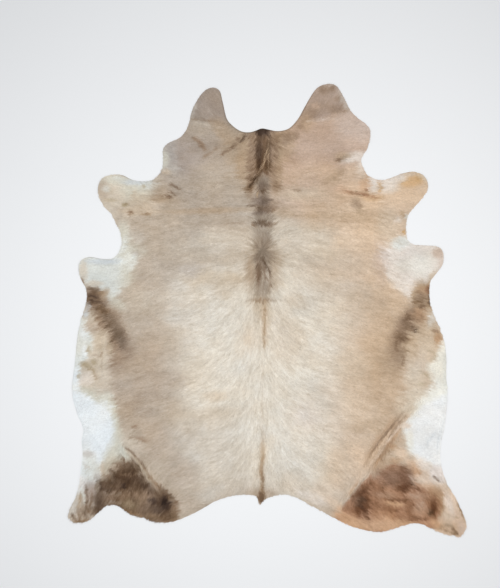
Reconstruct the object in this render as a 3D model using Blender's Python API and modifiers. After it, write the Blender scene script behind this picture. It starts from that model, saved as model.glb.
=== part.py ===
"""A whole hair-on cowhide, laid out flat with its hair side up.

The frame is in metres with +Z up. The origin lies on the floor, on the line of
the spine and half way along the hide. +Y runs along the spine to the head and
+X to the side that is on the right when seen from above.
"""

from collections import namedtuple
from math import ceil, cos, hypot, pi, sqrt

import bmesh
import bpy
from mathutils import Vector, geometry, kdtree

MM = 0.001

# The tanned skin with its short hair pressed flat, in millimetres.
THICKNESS = 3.0
# Spacing of the points along the rim, inside the hide and along a fold.
RIM_STEP = 19.0
INNER_STEP = 66.0
FOLD_STEP = 24.0
# An inner point keeps this far from the points of the rim and of the folds,
# and a fold's point keeps this far from those of the rim and of other folds.
INNER_GAP = 0.55 * INNER_STEP
FOLD_GAP = 6.0
# Shares of a fold's half width at which a row of points follows it.
FOLD_ROWS = (-1.0, -0.5, 0.0, 0.5, 1.0)
# A fold rises and dies away over this share of its length at either end.
FOLD_TAPER = 0.22
CURVE_STEPS = 12

# Principled values of the hair side: warm greige, hardly glossy.
COAT_COLOUR = (0.47, 0.40, 0.32, 1.0)
COAT_ROUGHNESS = 0.7

# The cut rim, clockwise from the poll as seen from above. Each stretch is a
# short row of (x, y) points in millimetres from the origin, and one smooth
# closed curve runs through them all.
RIM = {
    "poll": [(-60, 891), (-30, 899), (-2, 909), (40, 902), (70, 897), (102, 899)],
    "right ear": [(136, 911), (180, 958), (212, 1015), (248, 1077), (267, 1103), (293, 1122), (335, 1131), (367, 1124),
                  (385, 1105), (410, 1062)],
    "right cheek": [(441, 1000), (468, 970), (522, 926), (537, 903), (537, 868), (524, 811), (494, 757)],
    "right neck": [(497, 728), (520, 682), (542, 662), (575, 651), (612, 652)],
    "right foreleg": [(667, 672), (702, 685), (752, 693), (800, 678), (822, 648), (827, 612), (814, 582), (775, 533)],
    "right armpit": [(732, 482), (718, 440), (718, 389), (724, 357)],
    "right elbow": [(742, 334), (800, 326), (866, 322), (893, 309), (905, 275), (900, 229), (865, 179)],
    "right waist": [(840, 146), (834, 103), (838, 34)],
    "right belly": [(857, -24), (887, -94), (911, -163), (919, -258), (919, -322), (923, -400), (919, -497),
                    (911, -587)],
    "right groin": [(898, -641), (890, -719), (898, -796), (922, -866)],
    "right hind foot": [(963, -933), (999, -1008), (1016, -1055), (1010, -1096), (994, -1119), (976, -1126),
                        (957, -1119), (924, -1117), (857, -1091)],
    "right thigh": [(800, -1065), (764, -1058), (728, -1065), (640, -1092), (578, -1101), (500, -1092), (405, -1057),
                    (313, -1009)],
    "right rump": [(221, -959), (160, -926), (108, -917), (62, -923), (20, -938)],
    "tail root": [(2, -949), (-8, -968), (-16, -949), (-24, -928)],
    "left rump": [(-50, -919), (-92, -917), (-150, -923), (-227, -948), (-318, -1001)],
    "left thigh": [(-401, -1037), (-481, -1056), (-546, -1050), (-580, -1035), (-655, -1013), (-704, -982),
                   (-742, -968), (-775, -972)],
    "left hind foot": [(-819, -1006), (-860, -1040), (-906, -1058), (-946, -1048), (-964, -1022), (-956, -986),
                       (-926, -923)],
    "left groin": [(-914, -881), (-902, -794), (-896, -705), (-900, -650), (-892, -606), (-900, -565)],
    "left belly": [(-921, -521), (-940, -441), (-944, -380), (-933, -250), (-922, -151), (-903, -53)],
    "left waist": [(-881, 17), (-873, 70), (-880, 113)],
    "left elbow": [(-900, 151), (-914, 200), (-905, 246), (-867, 267), (-797, 258), (-745, 261)],
    "left armpit": [(-718, 284), (-702, 315), (-701, 378), (-727, 434), (-757, 490)],
    "left foreleg": [(-781, 511), (-812, 567), (-817, 615), (-800, 656), (-760, 675), (-700, 677), (-655, 656)],
    "left neck": [(-610, 644), (-554, 648), (-518, 671), (-494, 716), (-492, 760)],
    "left cheek": [(-492, 807), (-472, 833), (-412, 862), (-380, 897), (-363, 940)],
    "left ear": [(-351, 993), (-319, 1058), (-281, 1100), (-244, 1113), (-214, 1100), (-196, 1040), (-174, 955),
                 (-145, 922), (-102, 895)],
}

# Ridges where the skin creased and stands off the floor. half_width is from
# the crest to the foot, and route is the crest's line. All in millimetres.
Fold = namedtuple("Fold", "name height half_width route")
FOLDS = (
    Fold("right thigh fold", 7.0, 19.0, ((770, -472), (645, -615), (568, -727), (505, -830), (405, -957))),
    Fold("right thigh second fold", 4.5, 14.0, ((715, -490), (615, -602), (560, -675), (520, -742))),
    Fold("left thigh fold", 5.0, 18.0, ((-675, -697), (-615, -762), (-575, -812), (-520, -902))),
    Fold("right ear fold", 3.0, 20.0, ((175, 945), (290, 965), (375, 995), (432, 1008))),
    Fold("left ear fold", 3.0, 20.0, ((-352, 955), (-250, 940), (-140, 905))),
    Fold("upper neck fold", 3.0, 22.0, ((-260, 600), (-90, 607), (60, 612), (215, 606))),
    Fold("middle neck fold", 3.5, 24.0, ((-500, 492), (-290, 500), (-60, 512), (200, 505))),
    Fold("lower neck fold", 2.5, 22.0, ((-120, 432), (0, 428), (110, 434))),
    Fold("right neck fold", 3.5, 24.0, ((405, 608), (490, 583), (580, 560))),
    Fold("left neck fold", 3.0, 22.0, ((-470, 640), (-410, 605), (-350, 565))),
    Fold("right belly fold", 3.0, 22.0, ((835, -590), (812, -660), (850, -735))),
    Fold("left belly fold", 3.0, 22.0, ((-880, -560), (-830, -640), (-770, -735))),
    Fold("left foot crease", 4.0, 20.0, ((-800, -800), (-820, -890), (-850, -975))),
    Fold("right foot crease", 3.5, 20.0, ((905, -905), (900, -985), (930, -1065))),
)

# Places where the rim curls up off the floor. reach is how far in from the
# middle of the place the skin is lifted. All in millimetres.
Lift = namedtuple("Lift", "name x y reach height")
LIFTS = (
    Lift("left ear tip", -262, 1112, 90, 5.0),
    Lift("right ear tip", 340, 1140, 100, 5.0),
    Lift("right cheek", 560, 880, 110, 5.0),
    Lift("left foreleg", -830, 620, 110, 6.0),
    Lift("right foreleg", 845, 640, 110, 6.0),
    Lift("left elbow", -930, 220, 110, 6.0),
    Lift("right elbow", 925, 270, 110, 6.0),
    Lift("left upper belly", -960, -120, 130, 5.0),
    Lift("left lower belly", -975, -390, 140, 6.0),
    Lift("right upper belly", 950, -220, 130, 5.0),
    Lift("right lower belly", 955, -470, 140, 6.0),
    Lift("left hind foot", -985, -1050, 140, 8.0),
    Lift("right hind foot", 1045, -1110, 150, 8.0),
    Lift("left thigh rim", -480, -1090, 120, 4.0),
    Lift("right thigh rim", 590, -1140, 130, 4.0),
    Lift("poll", 0, 940, 110, 4.0),
)


def smooth_curve(points, closed, steps=CURVE_STEPS):
    """Points along a centripetal Catmull-Rom curve through the given ones."""
    points = [Vector(p) for p in points]
    if closed:
        points = [points[-1], *points, *points[:2]]
    else:
        points = [2 * points[0] - points[1], *points, 2 * points[-1] - points[-2]]
    line = []
    for p0, p1, p2, p3 in zip(points, points[1:], points[2:], points[3:]):
        t1 = sqrt((p1 - p0).length)
        t2 = t1 + sqrt((p2 - p1).length)
        t3 = t2 + sqrt((p3 - p2).length)
        for i in range(steps):
            t = t1 + (t2 - t1) * i / steps
            a = p0.lerp(p1, t / t1)
            b = p1.lerp(p2, (t - t1) / (t2 - t1))
            c = p2.lerp(p3, (t - t2) / (t3 - t2))
            line.append(a.lerp(b, t / t2).lerp(b.lerp(c, (t - t1) / (t3 - t1)), (t - t1) / (t2 - t1)))
    if not closed:
        line.append(points[-2])
    return line


def even_steps(line, step, closed):
    """The line walked again in equal steps of about the given length."""
    line = line + line[:1] if closed else line
    lengths = [(b - a).length for a, b in zip(line, line[1:])]
    count = max(2, ceil(sum(lengths) / step))
    wanted = [sum(lengths) * i / count for i in range(count if closed else count + 1)]
    walked, done, i = [], 0.0, 0
    for at in wanted:
        while i < len(lengths) - 1 and done + lengths[i] < at:
            done += lengths[i]
            i += 1
        walked.append(line[i].lerp(line[i + 1], min(1.0, (at - done) / lengths[i])))
    return walked


def fold_line(fold):
    return even_steps(smooth_curve(fold.route, closed=False), FOLD_STEP, closed=False)


def nearest_on(line, x, y):
    """(distance, share of the length walked) of the line's point nearest (x, y)."""
    point = Vector((x, y))
    best = (1e9, 0.0)
    for i, (a, b) in enumerate(zip(line, line[1:])):
        foot, share = geometry.intersect_point_line(point, a, b)
        share = min(1.0, max(0.0, share))
        best = min(best, ((a.lerp(b, share) - point).length, (i + share) / (len(line) - 1)))
    return best


def bump(share):
    """1 in the middle, falling smoothly to 0 at a share of 1 and beyond."""
    return 0.5 + 0.5 * cos(pi * min(1.0, abs(share)))


def fold_height(fold, line, x, y):
    distance, share = nearest_on(line, x, y)
    if distance >= fold.half_width:
        return 0.0
    ends = 1.0 - bump(min(share, 1.0 - share) / FOLD_TAPER)
    return fold.height * bump(distance / fold.half_width) * ends


def relief(x, y, lines):
    """How far the underside stands off the floor at (x, y), in millimetres."""
    heights = [fold_height(fold, line, x, y) for fold, line in zip(FOLDS, lines)]
    heights += [lift.height * bump(hypot(x - lift.x, y - lift.y) / lift.reach) for lift in LIFTS]
    return max(heights)


def rim_points():
    points = [p for stretch in RIM.values() for p in stretch]
    return even_steps(smooth_curve(points, closed=True), RIM_STEP, closed=True)


def fold_points(fold, line):
    """Rows of points that follow a fold, from foot to crest to foot."""
    points = []
    for i, p in enumerate(line):
        along = (line[min(i + 1, len(line) - 1)] - line[max(i - 1, 0)]).normalized()
        across = Vector((-along.y, along.x)) * fold.half_width
        points += [p + across * row for row in FOLD_ROWS]
    return points


def inner_points(rim):
    """An even triangular lattice over the rim's box."""
    low_x, high_x = min(p.x for p in rim), max(p.x for p in rim)
    low_y, high_y = min(p.y for p in rim), max(p.y for p in rim)
    row_step = INNER_STEP * sqrt(3) / 2
    points = []
    for row in range(int((high_y - low_y) / row_step) + 1):
        shift = INNER_STEP / 2 * (row % 2)
        for column in range(int((high_x - low_x) / INNER_STEP) + 1):
            points.append(Vector((low_x + shift + column * INNER_STEP, low_y + row * row_step)))
    return points


def kept_apart(points, others, distance):
    """The points that lie at least the distance from every one of the others."""
    tree = kdtree.KDTree(len(others))
    for i, p in enumerate(others):
        tree.insert((p.x, p.y, 0.0), i)
    tree.balance()
    return [p for p in points if tree.find((p.x, p.y, 0.0))[2] >= distance]


def hide_mesh():
    """The underside as one open surface: flat on the floor but for its folds."""
    points = rim_points()
    ring = [(i, (i + 1) % len(points)) for i in range(len(points))]
    lines = [fold_line(fold) for fold in FOLDS]
    for fold, line in zip(FOLDS, lines):
        points += kept_apart(fold_points(fold, line), points, FOLD_GAP)
    points += kept_apart(inner_points(points), points, INNER_GAP)
    flat, _, faces, _, _, _ = geometry.delaunay_2d_cdt(points, ring, [], 1, 1e-4)
    mesh = bpy.data.meshes.new("hide")
    mesh.from_pydata([Vector((p.x, p.y, relief(p.x, p.y, lines))) * MM for p in flat], [], faces)
    clean(mesh)
    return mesh


def clean(mesh):
    """Drops the points outside the rim and turns every face up."""
    bm = bmesh.new()
    bm.from_mesh(mesh)
    bmesh.ops.delete(bm, geom=[v for v in bm.verts if not v.link_faces], context="VERTS")
    bmesh.ops.reverse_faces(bm, faces=[f for f in bm.faces if f.normal.z < 0])
    bm.to_mesh(mesh)
    bm.free()


def coat_material():
    material = bpy.data.materials.new("coat")
    material.use_nodes = True
    shader = material.node_tree.nodes["Principled BSDF"]
    shader.inputs["Base Color"].default_value = COAT_COLOUR
    shader.inputs["Roughness"].default_value = COAT_ROUGHNESS
    return material


def hide():
    """The skin in one piece: the surface above, thickened upwards."""
    mesh = hide_mesh()
    mesh.materials.append(coat_material())
    skin = bpy.data.objects.new("hide", mesh)
    thicken = skin.modifiers.new("thickness", "SOLIDIFY")
    thicken.thickness = THICKNESS * MM
    thicken.offset = 1.0
    return skin


def main():
    for old in list(bpy.data.objects):
        bpy.data.objects.remove(old)
    cowhide = bpy.data.collections.new("cowhide")
    bpy.context.scene.collection.children.link(cowhide)
    cowhide.objects.link(hide())


main()
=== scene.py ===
"""A whole hair-on cowhide lying on a pale floor, seen from straight above.

Lengths in the tables are millimetres from the origin: on the floor under the
spine, half way along the hide, with +Y to the head and +X to the right.
"""

from collections import namedtuple
from math import ceil, cos, pi, radians, sin, sqrt

import bpy
import numpy as np
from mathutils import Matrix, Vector, geometry, kdtree


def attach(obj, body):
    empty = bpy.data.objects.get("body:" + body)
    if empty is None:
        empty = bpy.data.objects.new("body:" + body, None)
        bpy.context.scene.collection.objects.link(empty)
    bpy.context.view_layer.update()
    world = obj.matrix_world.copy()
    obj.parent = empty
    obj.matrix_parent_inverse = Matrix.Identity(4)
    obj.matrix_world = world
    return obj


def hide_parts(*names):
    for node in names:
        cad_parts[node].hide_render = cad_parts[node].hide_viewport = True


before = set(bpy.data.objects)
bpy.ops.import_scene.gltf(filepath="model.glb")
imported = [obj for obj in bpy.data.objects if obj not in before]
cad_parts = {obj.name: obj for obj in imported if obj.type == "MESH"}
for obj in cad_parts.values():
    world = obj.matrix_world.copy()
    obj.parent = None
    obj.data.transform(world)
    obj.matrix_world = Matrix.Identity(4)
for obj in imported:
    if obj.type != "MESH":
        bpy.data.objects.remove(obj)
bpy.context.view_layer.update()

MM = 0.001
rng = np.random.default_rng(11)

# The hide is worked out on a grid of square cells: their size, the grid's low
# corner, and how many points it has across and up.
CELL = 3.0
LOW = np.array((-1005.0, -1170.0))
COLUMNS, ROWS = 690, 782
# The noises cover a square of this size, from this far outside the grid.
NOISE_SPAN, NOISE_MARGIN = 2700, 100
# Distances to a route are measured from steps of this length along it.
ROUTE_STEP = 25
# Noise is smeared into streaks in steps of this many cells.
STRIDE = 1.5

# The cut rim, clockwise from the poll: stretches of (x, y) points on one
# smooth closed curve. It is the rim of the CAD solid.
RIM = {
    "poll": [(-60, 891), (-30, 899), (-2, 909), (40, 902), (70, 897), (102, 899)],
    "right ear": [(136, 911), (180, 958), (212, 1015), (248, 1077), (267, 1103), (293, 1122), (335, 1131), (367, 1124),
                  (385, 1105), (410, 1062)],
    "right cheek": [(441, 1000), (468, 970), (522, 926), (537, 903), (537, 868), (524, 811), (494, 757)],
    "right neck": [(497, 728), (520, 682), (542, 662), (575, 651), (612, 652)],
    "right foreleg": [(667, 672), (702, 685), (752, 693), (800, 678), (822, 648), (827, 612), (814, 582), (775, 533)],
    "right armpit": [(732, 482), (718, 440), (718, 389), (724, 357)],
    "right elbow": [(742, 334), (800, 326), (866, 322), (893, 309), (905, 275), (900, 229), (865, 179)],
    "right waist": [(840, 146), (834, 103), (838, 34)],
    "right belly": [(857, -24), (887, -94), (911, -163), (919, -258), (919, -322), (923, -400), (919, -497),
                    (911, -587)],
    "right groin": [(898, -641), (890, -719), (898, -796), (922, -866)],
    "right hind foot": [(963, -933), (999, -1008), (1016, -1055), (1010, -1096), (994, -1119), (976, -1126),
                        (957, -1119), (924, -1117), (857, -1091)],
    "right thigh": [(800, -1065), (764, -1058), (728, -1065), (640, -1092), (578, -1101), (500, -1092), (405, -1057),
                    (313, -1009)],
    "right rump": [(221, -959), (160, -926), (108, -917), (62, -923), (20, -938)],
    "tail root": [(2, -949), (-8, -968), (-16, -949), (-24, -928)],
    "left rump": [(-50, -919), (-92, -917), (-150, -923), (-227, -948), (-318, -1001)],
    "left thigh": [(-401, -1037), (-481, -1056), (-546, -1050), (-580, -1035), (-655, -1013), (-704, -982),
                   (-742, -968), (-775, -972)],
    "left hind foot": [(-819, -1006), (-860, -1040), (-906, -1058), (-946, -1048), (-964, -1022), (-956, -986),
                       (-926, -923)],
    "left groin": [(-914, -881), (-902, -794), (-896, -705), (-900, -650), (-892, -606), (-900, -565)],
    "left belly": [(-921, -521), (-940, -441), (-944, -380), (-933, -250), (-922, -151), (-903, -53)],
    "left waist": [(-881, 17), (-873, 70), (-880, 113)],
    "left elbow": [(-900, 151), (-914, 200), (-905, 246), (-867, 267), (-797, 258), (-745, 261)],
    "left armpit": [(-718, 284), (-702, 315), (-701, 378), (-727, 434), (-757, 490)],
    "left foreleg": [(-781, 511), (-812, 567), (-817, 615), (-800, 656), (-760, 675), (-700, 677), (-655, 656)],
    "left neck": [(-610, 644), (-554, 648), (-518, 671), (-494, 716), (-492, 760)],
    "left cheek": [(-492, 807), (-472, 833), (-412, 862), (-380, 897), (-363, 940)],
    "left ear": [(-351, 993), (-319, 1058), (-281, 1100), (-244, 1113), (-214, 1100), (-196, 1040), (-174, 955),
                 (-145, 922), (-102, 895)],
}

# The coat's colours, as sRGB from 0 to 255.
COLOURS = {
    # The pale grey-blue at the end of the next line is painted shadow, laid along the rim and in a fold's crease on
    # white hair.
    "white": (239, 240, 240), "cool white": (235, 239, 241), "shadow grey": (208, 213, 216),
    "chalk": (219, 220, 214), "milk": (227, 217, 207), "off white": (233, 230, 220),
    "moss white": (210, 206, 192), "ivory": (221, 213, 200), "cream": (213, 201, 184),
    "sand": (206, 187, 164), "beige": (197, 181, 160), "greige": (188, 173, 156), "taupe": (179, 165, 150),
    "mauve": (174, 159, 149), "dun": (180, 162, 144), "rose sand": (208, 184, 159),
    "rose cream": (215, 199, 181), "ear taupe": (163, 148, 136), "pink taupe": (179, 158, 144),
    "blush": (208, 188, 174), "pale blush": (231, 220, 212), "pale peach": (224, 202, 181),
    "pink tan": (197, 171, 151), "bone": (210, 203, 193), "apricot": (224, 198, 172),
    "caramel": (181, 146, 114), "peach": (215, 190, 164), "honey": (207, 170, 126), "copper": (198, 154, 118),
    "honey peach": (205, 167, 134), "ochre": (190, 150, 98), "tan": (181, 155, 126), "fawn": (167, 143, 117),
    "moss": (172, 155, 127), "lilac": (152, 137, 121), "walnut": (150, 126, 104), "hazel": (134, 108, 82),
    "brown": (118, 93, 71), "russet": (168, 128, 100), "chestnut": (138, 100, 74), "cocoa": (132, 101, 80),
    "smoke": (130, 112, 95), "ash": (182, 173, 165), "dusk": (124, 107, 94), "umber": (100, 79, 61),
    "liver": (100, 66, 44), "sable": (74, 55, 41), "black brown": (52, 37, 29),
}

# What is painted on the coat, each thing over the ones before it: ovals with
# their half sizes along and across, and the angle in degrees by which they are
# turned, areas within an outline, and thin marks along a route. An oval's fade
# is the share of its size over which it dies away on either side of its edge;
# an area's is in millimetres.
Oval = namedtuple("Oval", "x y along across colour strength fade turn", defaults=(0.7, 0.7, 0))
Area = namedtuple("Area", "colour fade outline")
Mark = namedtuple("Mark", "width strength colour route")
COAT = (
    # Broad tones.
    Oval(-590, -330, 180, 190, "dun", 0.7, 0.5), Oval(480, -100, 330, 700, "rose sand", 1.0, 0.5),
    Oval(600, -330, 120, 330, "tan", 0.35, 0.5), Oval(-20, -330, 400, 540, "ivory", 1.0, 0.35),
    Oval(-130, 60, 300, 190, "ivory", 0.8, 0.5), Oval(180, 0, 280, 200, "ivory", 0.7, 0.5),
    Oval(-270, 440, 380, 190, "greige", 0.7, 0.5), Oval(180, 330, 260, 120, "cream", 0.8, 0.5),
    Oval(380, 235, 150, 50, "greige", 0.6), Oval(-230, 300, 250, 60, "beige", 0.5),
    Oval(360, -640, 220, 250, "rose cream", 0.8, 0.5), Oval(200, -760, 200, 180, "ivory", 0.8, 0.5),
    Oval(-300, -760, 230, 150, "cream", 0.8, 0.5), Oval(-470, -640, 150, 150, "greige", 0.7, 0.5, turn=-45),
    Oval(-510, -640, 190, 60, "dun", 0.5, turn=-52), Oval(-330, -930, 80, 50, "taupe", 0.35, turn=30),
    Oval(-200, 95, 40, 30, "sand", 0.4), Oval(170, 55, 60, 40, "sand", 0.4), Oval(-70, -110, 22, 60, "sand", 0.35),
    Oval(-220, -510, 170, 26, "beige", 0.4, turn=8), Oval(-335, -300, 70, 110, "cream"),
    Oval(-200, 165, 150, 36, "beige", 0.8, 0.6), Oval(-210, 365, 110, 50, "cream", 0.5),
    Oval(-350, 60, 110, 50, "cream", 0.6), Oval(-600, 50, 80, 60, "cream", 0.45),
    Oval(430, 95, 190, 60, "greige", 0.5, turn=-20), Oval(125, -165, 80, 90, "sand", 0.5),
    Oval(250, -230, 70, 60, "cream", 0.5), Oval(-270, -545, 150, 50, "beige", 0.6),
    Oval(-375, -835, 80, 60, "taupe", 0.5, turn=30), Oval(430, -740, 260, 95, "rose sand", 0.6, 0.6, turn=55),
    Oval(300, -905, 70, 46, "rose cream", 0.8), Oval(150, -855, 70, 50, "sand", 0.5),
    Oval(-445, -340, 80, 50, "dun", 0.5), Oval(-280, -690, 150, 180, "bone", 0.6, 0.6),
    Oval(-370, 50, 90, 100, "bone", 0.5), Oval(-230, 345, 170, 60, "bone", 0.4), Oval(40, -35, 110, 70, "sand", 0.35),
    Oval(-50, -150, 70, 60, "sand", 0.35), Oval(-180, 135, 110, 50, "beige", 0.4),
    Oval(-240, -430, 60, 26, "sand", 0.5), Oval(450, -270, 70, 90, "cream", 0.3),
    Oval(280, -490, 60, 60, "ivory", 0.5), Oval(250, -800, 90, 60, "ivory", 0.4),
    Oval(-450, -870, 44, 90, "taupe", 0.5, turn=25), Oval(-395, -800, 60, 60, "dun", 0.5),
    Oval(-343, 196, 50, 34, "ash", 0.6), Oval(-428, -29, 70, 40, "bone", 0.8),
    Oval(-250, -915, 80, 34, "bone", 0.6, turn=25), Oval(222, -524, 60, 50, "milk", 0.6),
    Oval(248, -932, 60, 26, "milk", turn=-25), Oval(-648, -271, 46, 40, "fawn"), Oval(24, -30, 20, 46, "beige", 0.5),
    Oval(42, -649, 22, 34, "beige", 0.4), Oval(200, -902, 40, 20, "milk", 0.5, turn=-20),
    Oval(-433, -739, 40, 36, "taupe", 0.6), Oval(-623, 371, 44, 30, "bone", 0.5), Oval(540, 15, 120, 70, "fawn", 0.2),
    # Head.
    Oval(-290, 790, 290, 320, "taupe", 1.0, 0.4), Oval(-400, 770, 110, 110, "mauve", 0.6, 0.5),
    Oval(-465, 790, 55, 90, "ash", 0.85, 0.5, turn=10), Oval(-250, 1045, 140, 115, "ear taupe", 0.9, 0.4),
    Oval(-340, 1000, 12, 44, "bone", 0.4, 0.5, turn=-15), Oval(-310, 910, 55, 32, "greige", 0.7, 0.5, turn=10),
    Oval(-482, 750, 24, 56, "moss white", 0.8, 0.5), Oval(-508, 654, 22, 16, "cream"),
    Oval(-440, 705, 30, 24, "bone", 0.5, 0.5), Oval(-380, 765, 32, 34, "ear taupe"),
    Oval(-250, 775, 90, 90, "ear taupe", 0.5, 0.6), Oval(-200, 910, 60, 40, "tan", 0.5, 0.5, turn=-40),
    Oval(-170, 680, 150, 110, "greige", 0.7, 0.6), Oval(290, 760, 330, 270, "pink tan", 1.0, 0.35),
    Oval(260, 650, 220, 80, "rose sand", 0.5, 0.6), Oval(200, 580, 120, 34, "beige", 0.7, 0.6),
    Oval(465, 905, 105, 85, "blush", 0.95, 0.5), Oval(420, 820, 90, 50, "pink tan", 0.6, 0.5),
    Oval(310, 1050, 150, 82, "pink taupe", 0.9, 0.35, turn=8), Oval(250, 995, 70, 30, "walnut", 0.5, turn=20),
    Oval(310, 1098, 26, 20, "walnut", 0.6), Oval(348, 1103, 18, 13, "hazel", 0.5),
    Oval(366, 1004, 32, 22, "walnut", 0.4), Oval(378, 1055, 18, 12, "walnut", 0.4),
    Oval(408, 1050, 18, 60, "bone", 0.5, 0.5, turn=20), Oval(218, 935, 34, 30, "tan", 0.4, turn=-50),
    Oval(190, 925, 16, 30, "walnut", 0.4, turn=-40), Oval(265, 1020, 22, 16, "pink tan", 0.7, 0.5),
    Oval(-130, 815, 60, 80, "tan", 0.5, 0.6), Oval(-82, 760, 34, 130, "tan", 0.6, 0.5),
    Oval(100, 825, 56, 74, "tan", 0.6, 0.6), Oval(92, 862, 60, 26, "walnut", 0.8, 0.5),
    Oval(68, 760, 28, 140, "fawn", 0.8, 0.5), Oval(150, 879, 34, 20, "walnut"), Oval(-112, 838, 46, 36, "fawn", 0.5),
    Oval(-42, 865, 16, 28, "hazel"), Oval(56, 862, 26, 24, "hazel"), Oval(110, 840, 24, 9, "walnut", 0.7, 0.5),
    Oval(-50, 740, 20, 160, "walnut", 0.9, 0.5), Oval(46, 770, 26, 130, "walnut", 0.9, 0.5),
    Oval(-3, 790, 38, 122, "brown", 1.0, 0.3), Oval(-14, 802, 18, 76, "sable", 0.8, 0.5),
    Oval(0, 905, 44, 29, "black brown", 0.95, 0.5), Oval(30, 780, 16, 90, "umber", 0.6, 0.5),
    Oval(20, 722, 18, 66, "brown"), Oval(62, 618, 20, 32, "hazel", 0.6, 0.8, turn=10),
    Oval(5, 640, 30, 36, "lilac", 0.9, 0.5), Oval(12, 590, 26, 30, "lilac", 0.7, 0.5),
    Oval(4, 622, 20, 30, "dusk", 0.8), Oval(-60, 614, 24, 20, "hazel", turn=40),
    Oval(5, 602, 16, 10, "umber", 0.7, 0.5), Oval(-118, 862, 9, 9, "brown", 0.6, 0.5),
    Mark(18, 0.95, "walnut", ((-352, 872), (-318, 850), (-290, 820), (-262, 786))),
    Oval(400, 768, 44, 22, "tan", 0.6, 0.5), Oval(395, 754, 32, 11, "brown", 0.8, 0.5, turn=8),
    Oval(455, 764, 60, 26, "milk", 0.75, 0.5, turn=18), Oval(418, 768, 30, 11, "fawn", 0.6, turn=20),
    Oval(488, 712, 22, 48, "milk", 0.8, turn=-10), Oval(165, 602, 20, 6, "walnut", 0.8, 0.5),
    Mark(13, 0.9, "umber", ((-70, 892), (-88, 862), (-112, 836))),
    Mark(13, 0.85, "brown", ((-105, 842), (-150, 812), (-212, 770))),
    Mark(14, 0.7, "walnut", ((-205, 822), (-250, 790), (-300, 756))),
    Mark(15, 0.85, "umber", ((12, 715), (-22, 680), (-44, 640), (-68, 596))),
    Mark(9, 0.6, "sable", ((-10, 690), (-42, 645), (-60, 606))), Oval(350, 655, 70, 26, "tan", 0.5, turn=40),
    Mark(11, 0.5, "fawn", ((418, 715), (375, 680), (338, 640))),
    # On the right ear's fold, the next two marks are painted: a milk highlight below its crest and walnut shade in its
    # crease.
    Mark(7, 0.4, "milk", ((196, 944), (290, 952), (400, 958))),
    Mark(9, 0.45, "walnut", ((330, 984), (390, 990), (440, 998))),
    # On the left ear's fold, the next two marks are painted: hazel shade in its crease and a cream highlight below it.
    Mark(9, 0.6, "hazel", ((-358, 952), (-310, 952), (-235, 942))),
    Mark(9, 0.5, "cream", ((-352, 938), (-290, 932), (-180, 905))),
    # Neck.
    Oval(400, 520, 200, 80, "peach", 0.7, 0.6), Oval(330, 515, 110, 34, "tan", 0.4),
    # The thin tan oval along y 500 is painted shade in the neck's fold.
    Oval(470, 580, 130, 40, "copper", 0.35, turn=-6), Oval(-250, 500, 200, 14, "tan", 0.5, turn=2),
    Oval(280, 432, 90, 30, "tan", 0.4), Oval(330, 474, 160, 18, "tan", 0.6),
    Oval(400, 568, 110, 22, "tan", 0.5, turn=-5), Oval(105, 492, 50, 30, "tan", 0.4), Oval(44, 520, 34, 24, "walnut"),
    Oval(0, 550, 34, 26, "dusk", 0.9), Oval(8, 500, 34, 21, "umber", 0.95, 0.6),
    Oval(55, 502, 10, 9, "hazel", 0.8, 0.5), Oval(15, 462, 46, 26, "lilac", 0.9, 0.5), Oval(-14, 482, 26, 12, "dusk"),
    Oval(8, 430, 44, 13, "umber", 0.9, 0.6), Mark(10, 0.85, "umber", ((-72, 527), (-30, 526), (14, 520))),
    Mark(8, 0.7, "hazel", ((-58, 434), (-25, 414), (0, 392))),
    Mark(8, 0.4, "hazel", ((78, 438), (40, 420), (18, 396))),
    # The faint walnut mark along y 432 is painted shade in the fold there.
    Mark(8, 0.3, "walnut", ((-210, 430), (-120, 436), (-50, 432))),
    # Spine.
    Oval(4, 345, 44, 80, "lilac", 0.8, 0.6), Oval(0, 220, 76, 130, "fawn", 0.65, 0.6),
    Oval(-52, 210, 22, 56, "fawn", 0.6), Oval(4, 215, 40, 125, "lilac", 0.75, 0.5), Oval(-12, 175, 16, 80, "brown"),
    Oval(0, 55, 34, 80, "beige", 0.8, 0.6), Oval(2, 110, 30, 40, "lilac", 0.8), Oval(0, 58, 62, 9, "walnut", 0.6),
    Oval(-4, 57, 26, 8, "hazel", 0.5), Oval(0, -908, 76, 22, "dun", 0.85),
    Mark(11, 0.85, "umber", ((-2, 285), (8, 252), (26, 214), (40, 178))),
    Mark(9, 0.7, "brown", ((8, 240), (12, 190), (20, 150))),
    Mark(8, 0.6, "brown", ((-16, 262), (-22, 200), (-16, 110))),
    Mark(8, 0.5, "brown", ((30, 210), (38, 170), (34, 100))), Mark(7, 0.7, "cream", ((18, 222), (28, 185), (30, 160))),
    Mark(7, 0.5, "cream", ((2, 225), (4, 180), (0, 140))), Mark(26, 0.75, "sand", ((8, 80), (12, -40), (11, -190))),
    Mark(12, 0.8, "fawn", ((10, 80), (12, -50), (10, -200))),
    Mark(7, 0.35, "greige", ((4, -160), (2, -400), (0, -640))),
    Mark(20, 0.7, "fawn", ((8, -560), (2, -700), (0, -800), (3, -980))), Oval(6, -702, 16, 44, "sand"),
    Mark(14, 0.8, "fawn", ((10, -690), (2, -745), (-10, -785), (0, -835))),
    Mark(14, 0.9, "hazel", ((0, -780), (2, -860), (2, -1000))), Oval(-3, -930, 24, 26, "brown", 0.9, 0.6),
    # Left foreleg.
    Oval(-730, 570, 130, 120, "cream", 0.9, 0.5), Oval(-620, 602, 78, 54, "moss white", 0.9, 0.5),
    Oval(-720, 650, 110, 26, "moss white", 0.9, 0.5), Oval(-788, 600, 26, 55, "greige", 0.8, 0.5),
    # The grey-blue oval at (-630, 642) is painted shadow along the rim.
    Oval(-555, 625, 50, 24, "chalk", 0.8), Oval(-630, 642, 60, 16, "shadow grey", 0.8),
    Oval(-770, 606, 22, 16, "chalk", 0.6, 0.5), Oval(-713, 661, 30, 13, "chalk", 0.6),
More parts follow.
